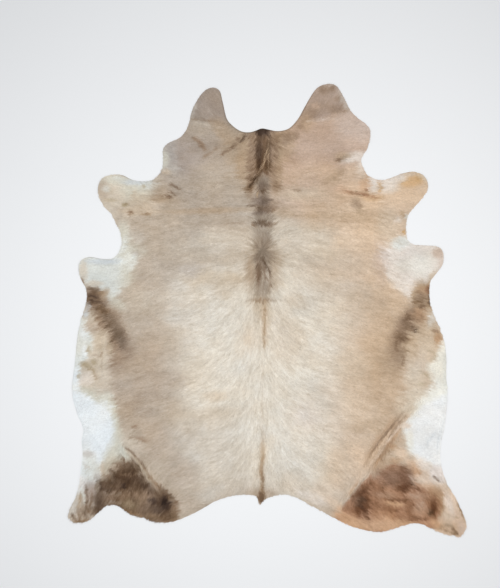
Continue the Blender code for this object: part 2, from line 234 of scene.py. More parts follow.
    Oval(-750, 596, 12, 16, "moss", 0.25, 0.5), Oval(-755, 552, 30, 9, "moss", 0.5, 0.5),
    Oval(-712, 500, 36, 16, "greige", 0.5, 0.5), Oval(-600, 495, 90, 24, "sand", 0.7, 0.5),
    Oval(-580, 545, 80, 40, "sand", 0.6, 0.5), Oval(-465, 590, 60, 60, "tan", 0.5, 0.6),
    Oval(-430, 630, 70, 60, "taupe", 0.7, 0.6), Oval(-500, 556, 44, 16, "fawn", 0.55),
    Oval(-680, 529, 20, 10, "moss", 0.95, 0.5), Oval(-655, 486, 15, 13, "walnut", 0.95, 0.5),
    Oval(-565, 482, 15, 9, "fawn", 0.95, 0.5), Oval(-586, 618, 11, 9, "moss", 0.6, 0.5),
    Oval(-630, 580, 12, 24, "beige", 0.6, 0.5), Oval(-705, 450, 20, 30, "taupe", 0.6, 0.5),
    # The brown mark on this line is painted shade in the left foreleg's fold.
    Oval(-470, 690, 20, 16, "sand", 0.7, 0.5), Mark(11, 0.9, "brown", ((-462, 636), (-432, 622), (-398, 604))),
    Mark(10, 0.8, "brown", ((-472, 600), (-445, 590), (-415, 572))),
    Mark(13, 0.9, "brown", ((-484, 576), (-460, 570), (-440, 560))),
    # Right foreleg.
    Oval(540, 420, 190, 190, "peach", 0.85, 0.5), Oval(665, 540, 100, 80, "peach", 0.9, 0.5),
    Oval(760, 600, 100, 100, "peach", 0.9, 0.5), Oval(480, 640, 80, 70, "peach", 0.6, 0.5),
    Oval(525, 474, 70, 28, "fawn", 0.5), Oval(430, 466, 90, 20, "tan", 0.4),
    Oval(745, 650, 72, 36, "honey", 0.75, 0.5, turn=10), Oval(785, 662, 18, 20, "ochre", 0.5, 0.5),
    Oval(800, 668, 34, 16, "cream", turn=-40), Oval(548, 630, 26, 44, "milk", 0.9, 0.5),
    Oval(632, 625, 46, 40, "milk", 0.9, 0.5), Oval(540, 566, 50, 18, "honey", 0.4),
    Oval(508, 622, 28, 34, "copper", 0.4), Oval(518, 600, 12, 7, "chestnut", 0.6, 0.5),
    Oval(462, 536, 16, 24, "walnut", 0.6, 0.8, turn=8), Oval(480, 502, 12, 20, "fawn", 0.7, 0.5),
    Oval(700, 482, 18, 12, "tan", 0.8, 0.5, turn=-30), Oval(722, 468, 12, 12, "chalk", 0.7, 0.5),
    Oval(703, 392, 9, 15, "ochre", 0.95, 0.5), Oval(620, 430, 55, 80, "sand", 0.6, 0.5),
    Oval(672, 456, 20, 15, "milk", 0.6), Oval(686, 664, 36, 20, "milk", 0.9, turn=12),
    Oval(738, 680, 30, 12, "rose cream", 0.8), Oval(545, 645, 22, 16, "milk"),
    # The russet and hazel marks below are painted shade in the right foreleg's fold.
    Mark(15, 0.9, "russet", ((380, 606), (430, 588), (490, 580), (580, 558))),
    Mark(9, 0.7, "hazel", ((415, 592), (455, 585), (495, 578))),
    Mark(11, 0.8, "ochre", ((580, 648), (582, 615), (586, 585))),
    # Left elbow.
    Oval(-690, 370, 40, 70, "moss white", 0.9, 0.5),
    Area("chalk", 16, ((-740, 275), (-700, 330), (-655, 305), (-615, 285), (-625, 215), (-660, 140), (-705, 100),
                       (-760, 55), (-795, 105), (-850, 132), (-885, 150), (-930, 190), (-930, 260), (-860, 290))),
    Oval(-660, 180, 40, 70, "moss white", 0.6, turn=-20), Oval(-645, 302, 60, 38, "moss white", 0.8),
    Oval(-686, 320, 22, 52, "chalk", 0.8, turn=-20), Oval(-715, 40, 46, 26, "moss white", turn=-50),
    # The grey-blue oval at (-790, 245) is painted shadow along the rim.
    Oval(-790, 245, 90, 14, "shadow grey", 0.8, 0.5), Oval(-890, 200, 22, 46, "cream", 0.8, 0.5),
    Oval(-640, 250, 26, 50, "chalk", 0.5, 0.5), Oval(-623, 270, 18, 15, "chalk"),
    Oval(-622, 290, 26, 10, "mauve", 0.4, 0.5), Oval(-835, 138, 44, 14, "cream", 0.8, 0.5),
    # Right elbow.
    Area("milk", 28, ((715, 360), (650, 345), (590, 310), (600, 220), (650, 140), (700, 90), (745, 90), (765, 150),
                      (850, 150), (920, 220), (920, 310), (870, 345), (745, 345))),
    Oval(590, 250, 40, 90, "blush", 0.5), Oval(685, 340, 50, 32, "chalk", 0.8, 0.5),
    Oval(800, 235, 70, 60, "off white", 0.6, 0.5), Oval(705, 225, 40, 34, "ivory", 0.6, 0.5),
    Oval(880, 290, 26, 26, "pink tan", 0.6, 0.5), Oval(855, 170, 20, 30, "sand", 0.7, 0.5, turn=-40),
    Oval(893, 240, 12, 40, "blush", 0.5, 0.5),
    # Left flank.
    Oval(-830, -200, 80, 220, "cream", 0.95, 0.5), Oval(-800, -150, 30, 60, "beige", 0.8),
    Oval(-815, -300, 50, 60, "beige", 0.5), Oval(-745, -60, 120, 46, "walnut", 0.8, turn=-60),
    Oval(-700, -195, 50, 105, "walnut", 0.75, 0.6, turn=8), Oval(-722, -272, 42, 32, "walnut", 0.6),
    Oval(-620, -300, 90, 60, "taupe", 0.5), Oval(-801, -45, 26, 52, "walnut", 0.8, turn=10),
    Oval(-742, -66, 104, 33, "smoke", 0.9, 0.6, turn=-58), Oval(-700, -130, 52, 24, "smoke", turn=-78),
    Oval(-660, -300, 60, 90, "taupe", 0.4), Oval(-748, -185, 14, 40, "beige", 0.7, 0.5),
    Oval(-845, -80, 30, 34, "dun"),
    Area("chalk", 16, ((-876, -40), (-872, -90), (-842, -138), (-842, -190), (-866, -225), (-896, -270), (-896, -340),
                       (-890, -430), (-980, -430), (-980, -40))),
    Oval(-862, -195, 10, 20, "moss", 0.8), Oval(-868, -345, 34, 36, "milk", 0.7, 0.5),
    Oval(-922, -345, 22, 60, "cool white", 0.85), Oval(-882, -112, 20, 30, "cool white", 0.6),
    Oval(-882, -199, 14, 30, "cool white"), Oval(-880, -272, 24, 15, "moss", 0.9, turn=-20),
    Oval(-836, -258, 17, 13, "moss", 0.8), Oval(-848, -292, 22, 12, "moss", 0.6, 0.8, turn=-40),
    Oval(-908, -325, 8, 14, "moss", 0.6, 0.5), Oval(-832, 66, 58, 48, "brown", 0.95, 0.5, turn=-30),
    # The grey-blue oval at (-876, -14) is painted shadow at the rim.
    Oval(-864, 20, 14, 28, "ash", 0.9, 0.5), Oval(-876, -14, 16, 18, "shadow grey", 0.8),
    Oval(-800, 92, 16, 12, "hazel", 0.8, 0.5), Oval(-898, 148, 12, 16, "walnut", 0.8, 0.5),
    Oval(-778, 86, 22, 28, "fawn"), Oval(-792, 10, 34, 18, "hazel", 0.9, 0.5, turn=-30),
    Mark(10, 0.8, "umber", ((-884, 108), (-850, 112), (-812, 100))),
    Mark(10, 0.9, "sable", ((-878, 84), (-842, 74), (-806, 60))),
    Mark(9, 0.8, "sable", ((-862, 58), (-828, 46), (-800, 44))),
    Mark(9, 0.85, "umber", ((-870, 50), (-838, 30), (-808, 16))),
    Mark(10, 0.9, "umber", ((-832, 22), (-800, 8), (-778, 2), (-766, -28))),
    Mark(9, 0.8, "umber", ((-810, 50), (-790, 26), (-768, 14))),
    Mark(11, 0.7, "umber", ((-774, 0), (-768, -40), (-752, -84))),
    Mark(9, 0.5, "brown", ((-816, -10), (-810, -60), (-826, -110))),
    Mark(9, 0.7, "walnut", ((-838, -215), (-806, -232), (-800, -200))),
    Mark(9, 0.8, "fawn", ((-866, -286), (-838, -300), (-824, -330), (-806, -352))),
    Mark(7, 0.5, "fawn", ((-800, -160), (-795, -230), (-798, -310))),
    Area("moss white", 26, ((-980, -370), (-900, -376), (-835, -382), (-780, -414), (-738, -446), (-708, -510),
                            (-700, -590), (-694, -640), (-676, -672), (-650, -712), (-700, -742), (-760, -784),
                            (-800, -840), (-845, -880), (-905, -910), (-980, -900))),
    Area("cool white", 24, ((-980, -380), (-900, -396), (-858, -415), (-806, -440), (-764, -474), (-742, -530),
                            (-736, -600), (-742, -655), (-772, -700), (-798, -760), (-815, -830), (-845, -862),
                            (-872, -880), (-905, -910), (-980, -900))),
    Oval(-915, -392, 22, 26, "cool white"), Oval(-856, -790, 44, 74, "chalk", 0.9, 0.6),
    Oval(-792, -800, 12, 46, "cream", 0.8, 0.5), Mark(7, 0.5, "greige", ((-898, -748), (-872, -776), (-850, -786))),
    # Right flank.
    Oval(800, -210, 90, 180, "sand", 0.95, 0.5), Oval(790, -270, 60, 70, "rose cream"),
    Oval(785, -75, 50, 40, "tan", 0.5), Oval(850, -30, 16, 60, "bone", 0.8, 0.5, turn=-25),
    Oval(640, -240, 60, 70, "fawn", 0.4, turn=-10), Oval(725, -55, 108, 48, "walnut", 0.85, turn=62),
    Oval(680, -195, 46, 76, "walnut", 0.6), Oval(738, -170, 40, 76, "tan", 0.5, turn=10),
    Oval(712, -70, 80, 26, "brown", 0.6, turn=66), Oval(698, -138, 24, 15, "brown", 0.6),
    Oval(780, -8, 34, 50, "caramel"),
    Area("tan", 12, ((755, 108), (800, 124), (880, 122), (880, 22), (812, 16), (775, 20), (748, 44), (748, 80))),
    Oval(796, 66, 38, 36, "walnut", 0.8, 0.6), Oval(778, 96, 16, 10, "hazel", 0.9, 0.5),
    Oval(800, 62, 16, 12, "hazel", 0.6, 0.5), Oval(812, 106, 30, 20, "caramel", 0.6),
    Oval(768, 42, 22, 9, "hazel", 0.9, 0.5), Oval(795, 22, 20, 10, "brown", 0.7, 0.5),
    Oval(826, 104, 12, 22, "chestnut", 0.7, 0.5), Mark(12, 0.9, "umber", ((836, 128), (831, 85), (832, 15))),
    Mark(9, 0.7, "brown", ((716, 20), (722, -20), (712, -66))),
    Mark(7, 0.95, "sable", ((736, -68), (742, -84), (740, -104))),
    Mark(7, 0.95, "sable", ((768, -82), (759, -96), (752, -110))),
    Mark(9, 0.7, "brown", ((672, -138), (660, -172), (666, -212))),
    Mark(8, 0.7, "brown", ((690, -128), (684, -160), (692, -190))),
    Mark(8, 0.8, "hazel", ((690, -205), (700, -240), (692, -278))),
    Mark(8, 0.5, "hazel", ((714, -150), (706, -190), (716, -230))),
    Oval(872, -135, 19, 40, "caramel", 0.8, 0.6, turn=10), Oval(856, -98, 13, 9, "walnut", 0.8, 0.5),
    Mark(9, 0.7, "moss", ((808, -195), (850, -205), (862, -228), (826, -262))),
    Mark(9, 0.7, "moss", ((762, -298), (800, -308), (830, -328), (848, -356))), Oval(790, -368, 22, 10, "moss", 0.6),
    Oval(780, -430, 56, 40, "cream", 0.8, 0.5), Oval(735, -480, 56, 70, "cream", 0.8, turn=-20),
    Oval(745, -350, 40, 70, "cream", 0.6),
    Area("off white", 22, ((980, -130), (908, -150), (876, -192), (850, -240), (822, -276), (812, -302), (838, -322),
                           (836, -372), (808, -420), (770, -468), (736, -520), (712, -562), (700, -608), (706, -656),
                           (728, -704), (760, -742), (800, -772), (850, -790), (980, -790))),
    Area("white", 20, ((980, -420), (876, -426), (828, -450), (782, -492), (748, -532), (726, -568), (714, -608),
                       (720, -656), (742, -704), (774, -738), (812, -764), (850, -778), (980, -780))),
    Oval(736, -640, 18, 44, "off white", 0.9), Oval(722, -572, 14, 20, "pale peach", turn=-40),
    # The two grey-blue marks are painted shadow: the first in the crease of the right flank's lower fold, the second
    # along the rim.
    Oval(915, -300, 14, 150, "chalk", 0.6, 0.5), Mark(8, 0.5, "shadow grey", ((876, -598), (840, -636), (810, -690))),
    Mark(7, 0.5, "shadow grey", ((902, -470), (904, -560), (890, -600), (872, -690), (880, -760))),
    # Left thigh.
    Oval(-660, -650, 50, 30, "cream", 0.6, turn=-35), Oval(-905, -862, 34, 40, "milk", 0.6),
    Oval(-855, -910, 34, 60, "mauve", 0.85, 0.6), Oval(-905, -1000, 60, 80, "taupe", 0.95, 0.5, turn=-20),
    Oval(-940, -962, 30, 50, "bone", 0.95, turn=-25), Oval(-700, -775, 100, 44, "fawn", 0.5, turn=10),
    Area("umber", 20, ((-708, -760), (-665, -736), (-632, -752), (-606, -806), (-584, -850), (-554, -884),
                       (-508, -894), (-462, -912), (-432, -945), (-418, -990), (-425, -1090), (-620, -1090),
                       (-760, -1020), (-850, -1010), (-846, -975), (-826, -925), (-818, -850), (-792, -834),
                       (-765, -815))),
    Oval(-838, -888, 14, 36, "mauve", 0.6), Oval(-738, -786, 40, 20, "dun", 0.6, 0.6, turn=40),
    Oval(-745, -822, 22, 24, "smoke", 0.6), Oval(-818, -876, 14, 22, "smoke"),
    Oval(-526, -870, 26, 14, "walnut", 0.6, turn=-40), Oval(-554, -900, 20, 18, "umber", 0.8, turn=-40),
    Oval(-820, -826, 16, 18, "ash"), Oval(-815, -945, 18, 46, "sable", 0.5), Oval(-680, -830, 80, 24, "sable", 0.6),
    Oval(-725, -922, 76, 42, "walnut", 0.65), Oval(-745, -935, 44, 26, "brown", 0.5),
    Oval(-600, -925, 50, 32, "walnut"), Oval(-658, -960, 40, 26, "moss", 0.5),
    Oval(-640, -1015, 70, 16, "hazel", turn=-18), Oval(-575, -875, 40, 14, "sable", turn=-45),
    Oval(-500, -968, 44, 44, "sable", 0.85, 0.6), Oval(-478, -955, 24, 34, "black brown", 1.0, 0.6, turn=10),
    Oval(-545, -942, 24, 14, "black brown", 0.8, 0.5, turn=-20), Oval(-530, -1022, 46, 18, "hazel", 0.8, turn=-10),
    Oval(-500, -1050, 60, 12, "walnut"), Oval(-430, -1015, 18, 40, "fawn", 0.4, turn=10),
    Oval(-690, -870, 16, 10, "black brown", 0.7, 0.5),
    Mark(13, 0.9, "sable", ((-824, -838), (-806, -852), (-796, -890))),
    Mark(13, 0.7, "sable", ((-830, -882), (-760, -888), (-690, -880))),
    Mark(12, 0.6, "lilac", ((-800, -905), (-740, -912), (-690, -905))),
    Mark(12, 0.6, "lilac", ((-790, -955), (-730, -950), (-690, -962))),
    Mark(12, 0.6, "walnut", ((-720, -812), (-660, -818), (-620, -806))),
    Mark(12, 0.7, "sable", ((-668, -880), (-640, -930), (-610, -962))),
    Mark(12, 0.9, "umber", ((-770, -790), (-738, -798), (-706, -838))),
    Mark(12, 0.9, "brown", ((-712, -708), (-694, -736), (-664, -766))),
    Mark(12, 0.8, "brown", ((-740, -752), (-714, -764), (-690, -785))),
    Mark(12, 0.7, "brown", ((-800, -812), (-772, -822), (-750, -850))),
    Mark(13, 0.9, "umber", ((-535, -868), (-498, -882), (-462, -900))),
    Mark(13, 0.9, "umber", ((-500, -895), (-458, -912), (-422, -936))),
    Mark(13, 0.8, "brown", ((-480, -925), (-435, -945), (-402, -970))),
    Mark(13, 0.8, "brown", ((-462, -965), (-420, -985), (-394, -1010))),
    # On the left thigh's fold, the next three marks are painted: hazel and brown shade in its crease, and a beige
    # highlight on its crest.
    Mark(12, 0.9, "hazel", ((-600, -752), (-584, -792), (-558, -828), (-530, -860), (-500, -890))),
    Mark(13, 0.95, "beige", ((-700, -680), (-645, -728), (-612, -764), (-592, -800), (-556, -848), (-540, -866))),
    Mark(13, 1.0, "brown", ((-696, -668), (-666, -690), (-646, -710), (-620, -738), (-598, -756), (-586, -778))),
    Mark(12, 0.85, "umber", ((-646, -740), (-626, -766), (-608, -800), (-590, -836), (-560, -872))),
    Mark(12, 0.95, "chalk", ((-912, -870), (-890, -912), (-880, -965))),
    Mark(11, 0.8, "cream", ((-925, -900), (-912, -945), (-900, -1000))),
    Mark(11, 0.7, "fawn", ((-902, -895), (-905, -940), (-922, -990))),
    Mark(12, 0.9, "umber", ((-880, -855), (-870, -910), (-872, -975))),
    Mark(11, 0.7, "brown", ((-852, -880), (-846, -930), (-862, -990))),
    Mark(12, 0.8, "umber", ((-950, -1005), (-936, -1032), (-910, -1046))),
    Mark(13, 0.9, "brown", ((-876, -960), (-868, -990), (-852, -1020))),
    Oval(-895, -1010, 26, 34, "walnut", 0.5, turn=-20), Oval(-900, -1048, 46, 9, "hazel", 0.8, turn=10),
    Mark(10, 0.9, "umber", ((-948, -1012), (-936, -1036), (-925, -1052))),
    Mark(10, 0.9, "brown", ((-922, -1004), (-908, -1030), (-904, -1050))),
    Mark(10, 0.6, "umber", ((-886, -990), (-877, -1016), (-870, -1040))),
    Mark(9, 0.9, "milk", ((-938, -1000), (-924, -1024), (-914, -1040))),
    Mark(9, 0.8, "cream", ((-908, -1000), (-896, -1024), (-890, -1040))), Oval(-627, -578, 14, 9, "walnut", 0.9),
    Oval(-612, -640, 50, 12, "walnut", 0.5, turn=-12),
    Mark(12, 0.7, "walnut", ((-630, -634), (-600, -642), (-566, -656))), Oval(-448, -942, 15, 17, "lilac", 0.55),
    Oval(-606, -828, 17, 13, "sable", 0.45), Oval(-746, -828, 15, 15, "smoke", 0.8), Oval(-820, -880, 11, 19, "lilac"),
    Oval(-833, -930, 13, 24, "umber", 0.55), Oval(-868, -712, 34, 15, "ash", 0.5),
    # Right thigh.
    Oval(505, -572, 100, 40, "tan", 0.4), Oval(490, -745, 60, 70, "apricot", 0.6),
    Oval(365, -962, 60, 24, "apricot", 0.6, turn=-30), Oval(615, -645, 130, 40, "caramel", 0.6, turn=55),
    Oval(636, -668, 30, 15, "caramel", 0.8, turn=-30), Oval(690, -712, 34, 30, "apricot", 0.8, turn=-35),
    Oval(795, -810, 95, 54, "pale peach", 0.95, 0.5, turn=-35), Oval(880, -815, 40, 46, "pale blush", 0.9, 0.5),
    Area("pale peach", 14, ((910, -880), (930, -870), (1040, -1020), (1040, -1150), (960, -1150), (860, -1110),
                            (868, -1060), (902, -1010), (916, -940))),
    Oval(585, -782, 50, 34, "caramel", 0.45, turn=50),
    Area("russet", 14, ((572, -812), (600, -782), (636, -756), (668, -760), (692, -788), (714, -820), (742, -854),
                        (790, -866), (834, -884), (870, -908), (898, -932), (904, -960), (896, -1004), (868, -1040),
                        (845, -1100), (600, -1130), (330, -1040), (404, -990), (424, -942), (458, -904), (502, -848),
                        (540, -822))),
    Oval(735, -775, 34, 28, "honey peach", 0.5), Oval(760, -800, 24, 24, "honey peach", 0.9),
    Oval(806, -772, 36, 20, "milk", turn=-20), Oval(772, -864, 24, 12, "russet", 0.8, turn=-35),
    Oval(533, -838, 28, 12, "russet", 0.8, turn=50), Oval(657, -746, 30, 14, "caramel", 0.6),
    Oval(838, -876, 50, 16, "honey peach", 0.6, turn=-12), Oval(872, -908, 46, 22, "caramel", 0.8, turn=-15),
    Oval(900, -874, 24, 16, "pale peach", 0.8, turn=-30), Oval(892, -970, 16, 76, "caramel", 0.6, turn=4),
    Oval(650, -820, 74, 44, "cocoa", 0.85), Oval(709, -832, 36, 42, "liver", 0.75),
    Oval(704, -874, 34, 22, "liver", 0.85, turn=10), Oval(768, -888, 24, 11, "liver", 0.6, turn=-10),
    Oval(520, -866, 40, 20, "chestnut", 0.8, turn=48), Oval(540, -905, 50, 30, "chestnut", 0.5, turn=30),
    Oval(600, -960, 60, 50, "chestnut", 0.3), Oval(496, -968, 38, 52, "liver", 0.8, 0.6),
    Oval(480, -912, 50, 22, "liver", 0.8, turn=48), Oval(480, -948, 24, 28, "sable", 0.5),
    Oval(434, -966, 42, 20, "russet", turn=48), Oval(385, -984, 26, 14, "honey peach", 0.6, turn=40),
    Oval(662, -939, 52, 9, "liver", turn=-4), Oval(660, -959, 52, 12, "honey peach", 0.9, turn=-6),
    Oval(664, -992, 28, 9, "chestnut", 0.8), Oval(736, -985, 18, 44, "chestnut"),
    Oval(780, -925, 50, 22, "pink tan", 0.35), Oval(788, -985, 34, 30, "pink tan", 0.45),
    Oval(610, -915, 50, 20, "pink tan", 0.4), Oval(856, -975, 20, 48, "liver", 0.75, turn=-8),
    Oval(842, -1005, 16, 16, "umber"), Oval(600, -1066, 170, 34, "honey peach", 0.9, 0.5),
    Oval(430, -1044, 90, 30, "honey peach", 0.8, 0.5, turn=-25), Oval(610, -1020, 60, 22, "copper", 0.5),
    Oval(866, -1060, 34, 20, "honey peach", 0.85, turn=-50),
    Mark(14, 0.8, "chestnut", ((700, -1034), (760, -1040), (820, -1040), (858, -1018))),
    Mark(12, 0.7, "liver", ((730, -1018), (780, -1034), (840, -1036))),
    Mark(12, 0.6, "liver", ((540, -1000), (510, -1024), (540, -1040))),
    Mark(12, 0.6, "liver", ((690, -900), (712, -930), (700, -965))),
    Mark(12, 0.5, "liver", ((455, -985), (480, -1012), (520, -1010))),
    Mark(12, 0.6, "chestnut", ((560, -895), (566, -940), (560, -985))),
    Mark(11, 0.6, "pink tan", ((720, -905), (760, -925), (800, -915))),
    Mark(11, 0.6, "pink tan", ((770, -990), (790, -960), (815, -950))),
    Mark(11, 0.9, "umber", ((850, -820), (868, -838), (884, -854))),
    Oval(945, -1085, 70, 44, "caramel", 0.4, 0.6, turn=-8), Oval(905, -1060, 50, 26, "copper", 0.35, turn=-20),
    Oval(985, -1030, 26, 40, "pink tan", 0.4, turn=20),
    Mark(12, 0.75, "hazel", ((938, -1064), (953, -1090), (972, -1122))), Oval(994, -1080, 16, 26, "blush"),
    Mark(11, 0.8, "fawn", ((872, -1090), (915, -1066), (960, -1072))),
    Mark(11, 0.7, "fawn", ((920, -1006), (950, -1026), (985, -1030))),
    Mark(11, 0.7, "fawn", ((962, -930), (995, -1000), (1012, -1060))),
    Oval(936, -965, 16, 56, "pale blush", 0.6, turn=14), Oval(920, -1040, 26, 50, "rose cream", 0.5, turn=20),
    Mark(10, 0.8, "hazel", ((975, -952), (992, -995), (1006, -1040))),
    Mark(10, 0.3, "hazel", ((905, -1052), (922, -1070), (948, -1076))),
    Mark(10, 0.7, "brown", ((938, -1104), (950, -1086), (966, -1094), (976, -1122))),
    Mark(9, 0.8, "hazel", ((900, -1085), (930, -1100), (965, -1118))),
    # Along the right flank's high fold, the walnut lines are painted shade in its crease, and the peach and pale peach
    # lines a painted highlight on its crest.
    Mark(16, 0.8, "rose sand", ((780, -476), (701, -555), (615, -655), (529, -771), (446, -879), (390, -965))),
    Mark(11, 0.4, "walnut", ((725, -485), (681, -537), (636, -590))),
    Mark(11, 0.95, "walnut", ((668, -552), (636, -590), (595, -640), (564, -684), (548, -708))),
    Mark(11, 0.35, "walnut", ((575, -670), (517, -762), (475, -817), (434, -870))),
    Mark(9, 0.9, "walnut", ((730, -510), (693, -548), (670, -580), (653, -604), (628, -636))),
    Mark(9, 0.4, "walnut", ((634, -630), (613, -654), (572, -712), (552, -738))),
    Mark(13, 0.9, "caramel", ((706, -576), (670, -619), (636, -671), (594, -728), (552, -786))),
    Mark(12, 0.6, "walnut", ((668, -624), (636, -668), (604, -712), (580, -748))),
    Mark(12, 0.8, "caramel", ((490, -838), (455, -886), (424, -935))),
    Mark(9, 0.8, "peach", ((660, -576), (644, -597), (607, -649), (564, -706), (523, -764))),
    Mark(10, 0.95, "pale peach", ((752, -505), (705, -558), (662, -611), (621, -660), (578, -717), (531, -773),
                                  (490, -828), (440, -890))),
)

# Layers of noise: the width of the bumps, the seed and the strength of each.
Layer = namedtuple("Layer", "size seed strength")
# These shift the places at which ovals and areas are looked up, which frays
# their edges. Ovals narrower than FRAYED_SIZE and fades shorter than
# FRAYED_FADE fray less.
FRAY_X = (Layer(70, 1, 16), Layer(24, 2, 9), Layer(9, 3, 5))
FRAY_Y = (Layer(70, 4, 16), Layer(24, 5, 9), Layer(9, 6, 5))
FRAY_REACH = 32
FRAYED_SIZE, FRAYED_FADE, LEAST_FRAY = 70, 16, 0.12
# These mottle the coat in brightness and in warmth, and its darker parts once
# more, from DARK_COAT down and in full once they are darker by DARK_SPAN.
MOTTLE = (Layer(160, 8, 3.0), Layer(60, 9, 2.5))
WARMTH = (Layer(110, 12, 2.0), Layer(45, 13, 1.0))
DARK_MOTTLE = (Layer(26, 14, 9), Layer(11, 15, 9))
DARK_COAT, DARK_SPAN = 175, 90
# An area's outline is walked in steps of this length, and a mark dies away over
# this share of its length at either end.
OUTLINE_STEP, MARK_TAPER = 20, 0.2

# The folds and the lifted places of the rim are those of the CAD solid. A fold
# rises and dies away over FOLD_TAPER of its length at either end.
FOLD_TAPER = 0.22
Fold = namedtuple("Fold", "height half_width route")
FOLDS = (
    Fold(7.0, 19.0, ((770, -472), (645, -615), (568, -727), (505, -830), (405, -957))),
    Fold(4.5, 14.0, ((715, -490), (615, -602), (560, -675), (520, -742))),
    Fold(5.0, 18.0, ((-675, -697), (-615, -762), (-575, -812), (-520, -902))),
    Fold(3.0, 20.0, ((175, 945), (290, 965), (375, 995), (432, 1008))),
    Fold(3.0, 20.0, ((-352, 955), (-250, 940), (-140, 905))),
    Fold(3.0, 22.0, ((-260, 600), (-90, 607), (60, 612), (215, 606))),
    Fold(3.5, 24.0, ((-500, 492), (-290, 500), (-60, 512), (200, 505))),
    Fold(2.5, 22.0, ((-120, 432), (0, 428), (110, 434))),
    Fold(3.5, 24.0, ((405, 608), (490, 583), (580, 560))),
    Fold(3.0, 22.0, ((-470, 640), (-410, 605), (-350, 565))),
    Fold(3.0, 22.0, ((835, -590), (812, -660), (850, -735))),
    Fold(3.0, 22.0, ((-880, -560), (-830, -640), (-770, -735))),
    Fold(4.0, 20.0, ((-800, -800), (-820, -890), (-850, -975))),
    Fold(3.5, 20.0, ((905, -905), (900, -985), (930, -1065))),
)
Lift = namedtuple("Lift", "x y reach height")
LIFTS = (
    Lift(-262, 1112, 90, 5.0),
    Lift(340, 1140, 100, 5.0),
    Lift(560, 880, 110, 5.0),
    Lift(-830, 620, 110, 6.0),
    Lift(845, 640, 110, 6.0),
    Lift(-930, 220, 110, 6.0),
    Lift(925, 270, 110, 6.0),
    Lift(-960, -120, 130, 5.0),
    Lift(-975, -390, 140, 6.0),
    Lift(950, -220, 130, 5.0),
    Lift(955, -470, 140, 6.0),
    Lift(-985, -1050, 140, 8.0),
    Lift(1045, -1110, 150, 8.0),
    Lift(-480, -1090, 120, 4.0),
    Lift(590, -1140, 130, 4.0),
    Lift(0, 940, 110, 4.0),
)

# How the hair lies: at each height y, the angle in degrees by which it points
# below the horizontal, away from the spine, at these distances from the spine.
COMB_AT = (0, 60, 150, 300, 500, 900)
Comb = namedtuple("Comb", "y fall")
COMB = (
    Comb(-1000, (90, 76, 48, 30, 36, 55)),
    Comb(-700, (89, 74, 42, 30, 26, 40)),
    Comb(-400, (88, 73, 42, 22, 5, 18)),
    Comb(-200, (88, 72, 46, 14, 10, 22)),
    Comb(50, (88, 64, 36, 20, 18, 24)),
    Comb(200, (86, 54, 20, 17, 20, 22)),
    Comb(265, (60, 36, 16, 15, 17, 18)),
    Comb(330, (-60, -26, 0, 6, 12, 14)),
    Comb(430, (-75, -26, -5, 1, 8, 8)),
    Comb(500, (-30, 4, 3, 3, 4, 4)),
    Comb(650, (75, 25, 6, 0, -2, -4)),
    Comb(900, (80, 41, 14, 2, -8, -10)),
    Comb(1130, (80, 41, 0, -25, -30, -30)),
)

# Within this distance of the spine the hair of the two sides runs together, and
# on folds from this height on it lies along the fold, out to this many of the
# fold's half widths. The pulls are how strongly these and the sweeps below turn
# the hair, against 1 for its usual way.
PARTING, PARTING_PULL = 26, 0.15
HIGH_FOLD, FOLD_REACH, FOLD_PULL = 4.5, 2.5, 6
SWEEP_PULL = 2
# The hair's direction wavers by these angles.
WAVER = (Layer(170, 21, radians(9)), Layer(60, 22, radians(7)))

# Places where the hair leaves that order, such as on a foot: heading is the
# angle in degrees to which it points, counted from +X towards +Y.
Sweep = namedtuple("Sweep", "x y reach heading")
SWEEPS = (
    Sweep(-890, -980, 190, -112),
    Sweep(960, -1030, 200, -62),
    Sweep(-620, -900, 240, -95),
    Sweep(-270, 1040, 160, 110),
    Sweep(330, 1060, 170, 75),
    Sweep(-770, 600, 150, 160),
    Sweep(770, 620, 150, 15),
    Sweep(-850, 200, 130, 185),
    Sweep(860, 250, 130, -5),
)

# Places with hair of another length, and how far it may hang over the rim. The
# higher GROWTH_GAIN is, the wider the middle that has these values in full.
GROWTH_GAIN = 1.6
Growth = namedtuple("Growth", "x y reach length overhang")
USUAL = Growth(0, 0, 0, 25.0, 6.0)
GROWTHS = (
    Growth(-850, -600, 260, 13, 2),
    Growth(850, -600, 260, 13, 2),
    Growth(-880, -250, 200, 16, 3),
    Growth(890, -250, 200, 16, 3),
    Growth(-810, 200, 200, 14, 3),
    Growth(800, 240, 200, 14, 3),
    Growth(-300, 900, 330, 17, 3),
    Growth(330, 930, 330, 17, 3),
    Growth(-250, 1070, 170, 15, 1),
    Growth(340, 1085, 170, 15, 1),
    Growth(-740, 590, 200, 16, 4),
    Growth(740, 600, 200, 16, 4),
    Growth(-890, -1000, 190, 19, 15),
    Growth(960, -1050, 170, 18, 10),
    Growth(-580, -1050, 200, 22, 12),
    Growth(600, -1100, 200, 24, 7),
)

# Pale wavy strands that lie on the dark poll, and the wisp at the tail's root.
POLL_CURLS = (
    ((22, 868), (30, 825), (18, 780), (2, 725), (-22, 685), (-50, 640)),
    ((38, 810), (30, 770), (34, 730), (24, 700)),
    ((-12, 600), (-25, 575), (-15, 548)),
)
TAIL_TUFT = (
    ((0, -905), (-4, -935), (-9, -972)),
)
# A strand's step along its route, by how much it rises and falls, how far it
# lies aside as a share of its swing, and the shares between which its waves and
# its brightness vary.
WISP_STEP, WISP_RISE, WISP_ASIDE = 8, 1.2, 0.4
WISP_WAVES, WISP_TONES = (0.7, 1.3), (0.8, 1.2)

# Where the pieces of the hair begin and end, up the hide and across it.
HAIR_ROWS = (("head", 360, 2000), ("body", -330, 360), ("rump", -2000, -330))
HAIR_SIDES = (("left", -2000, 0), ("right", 0, 2000))

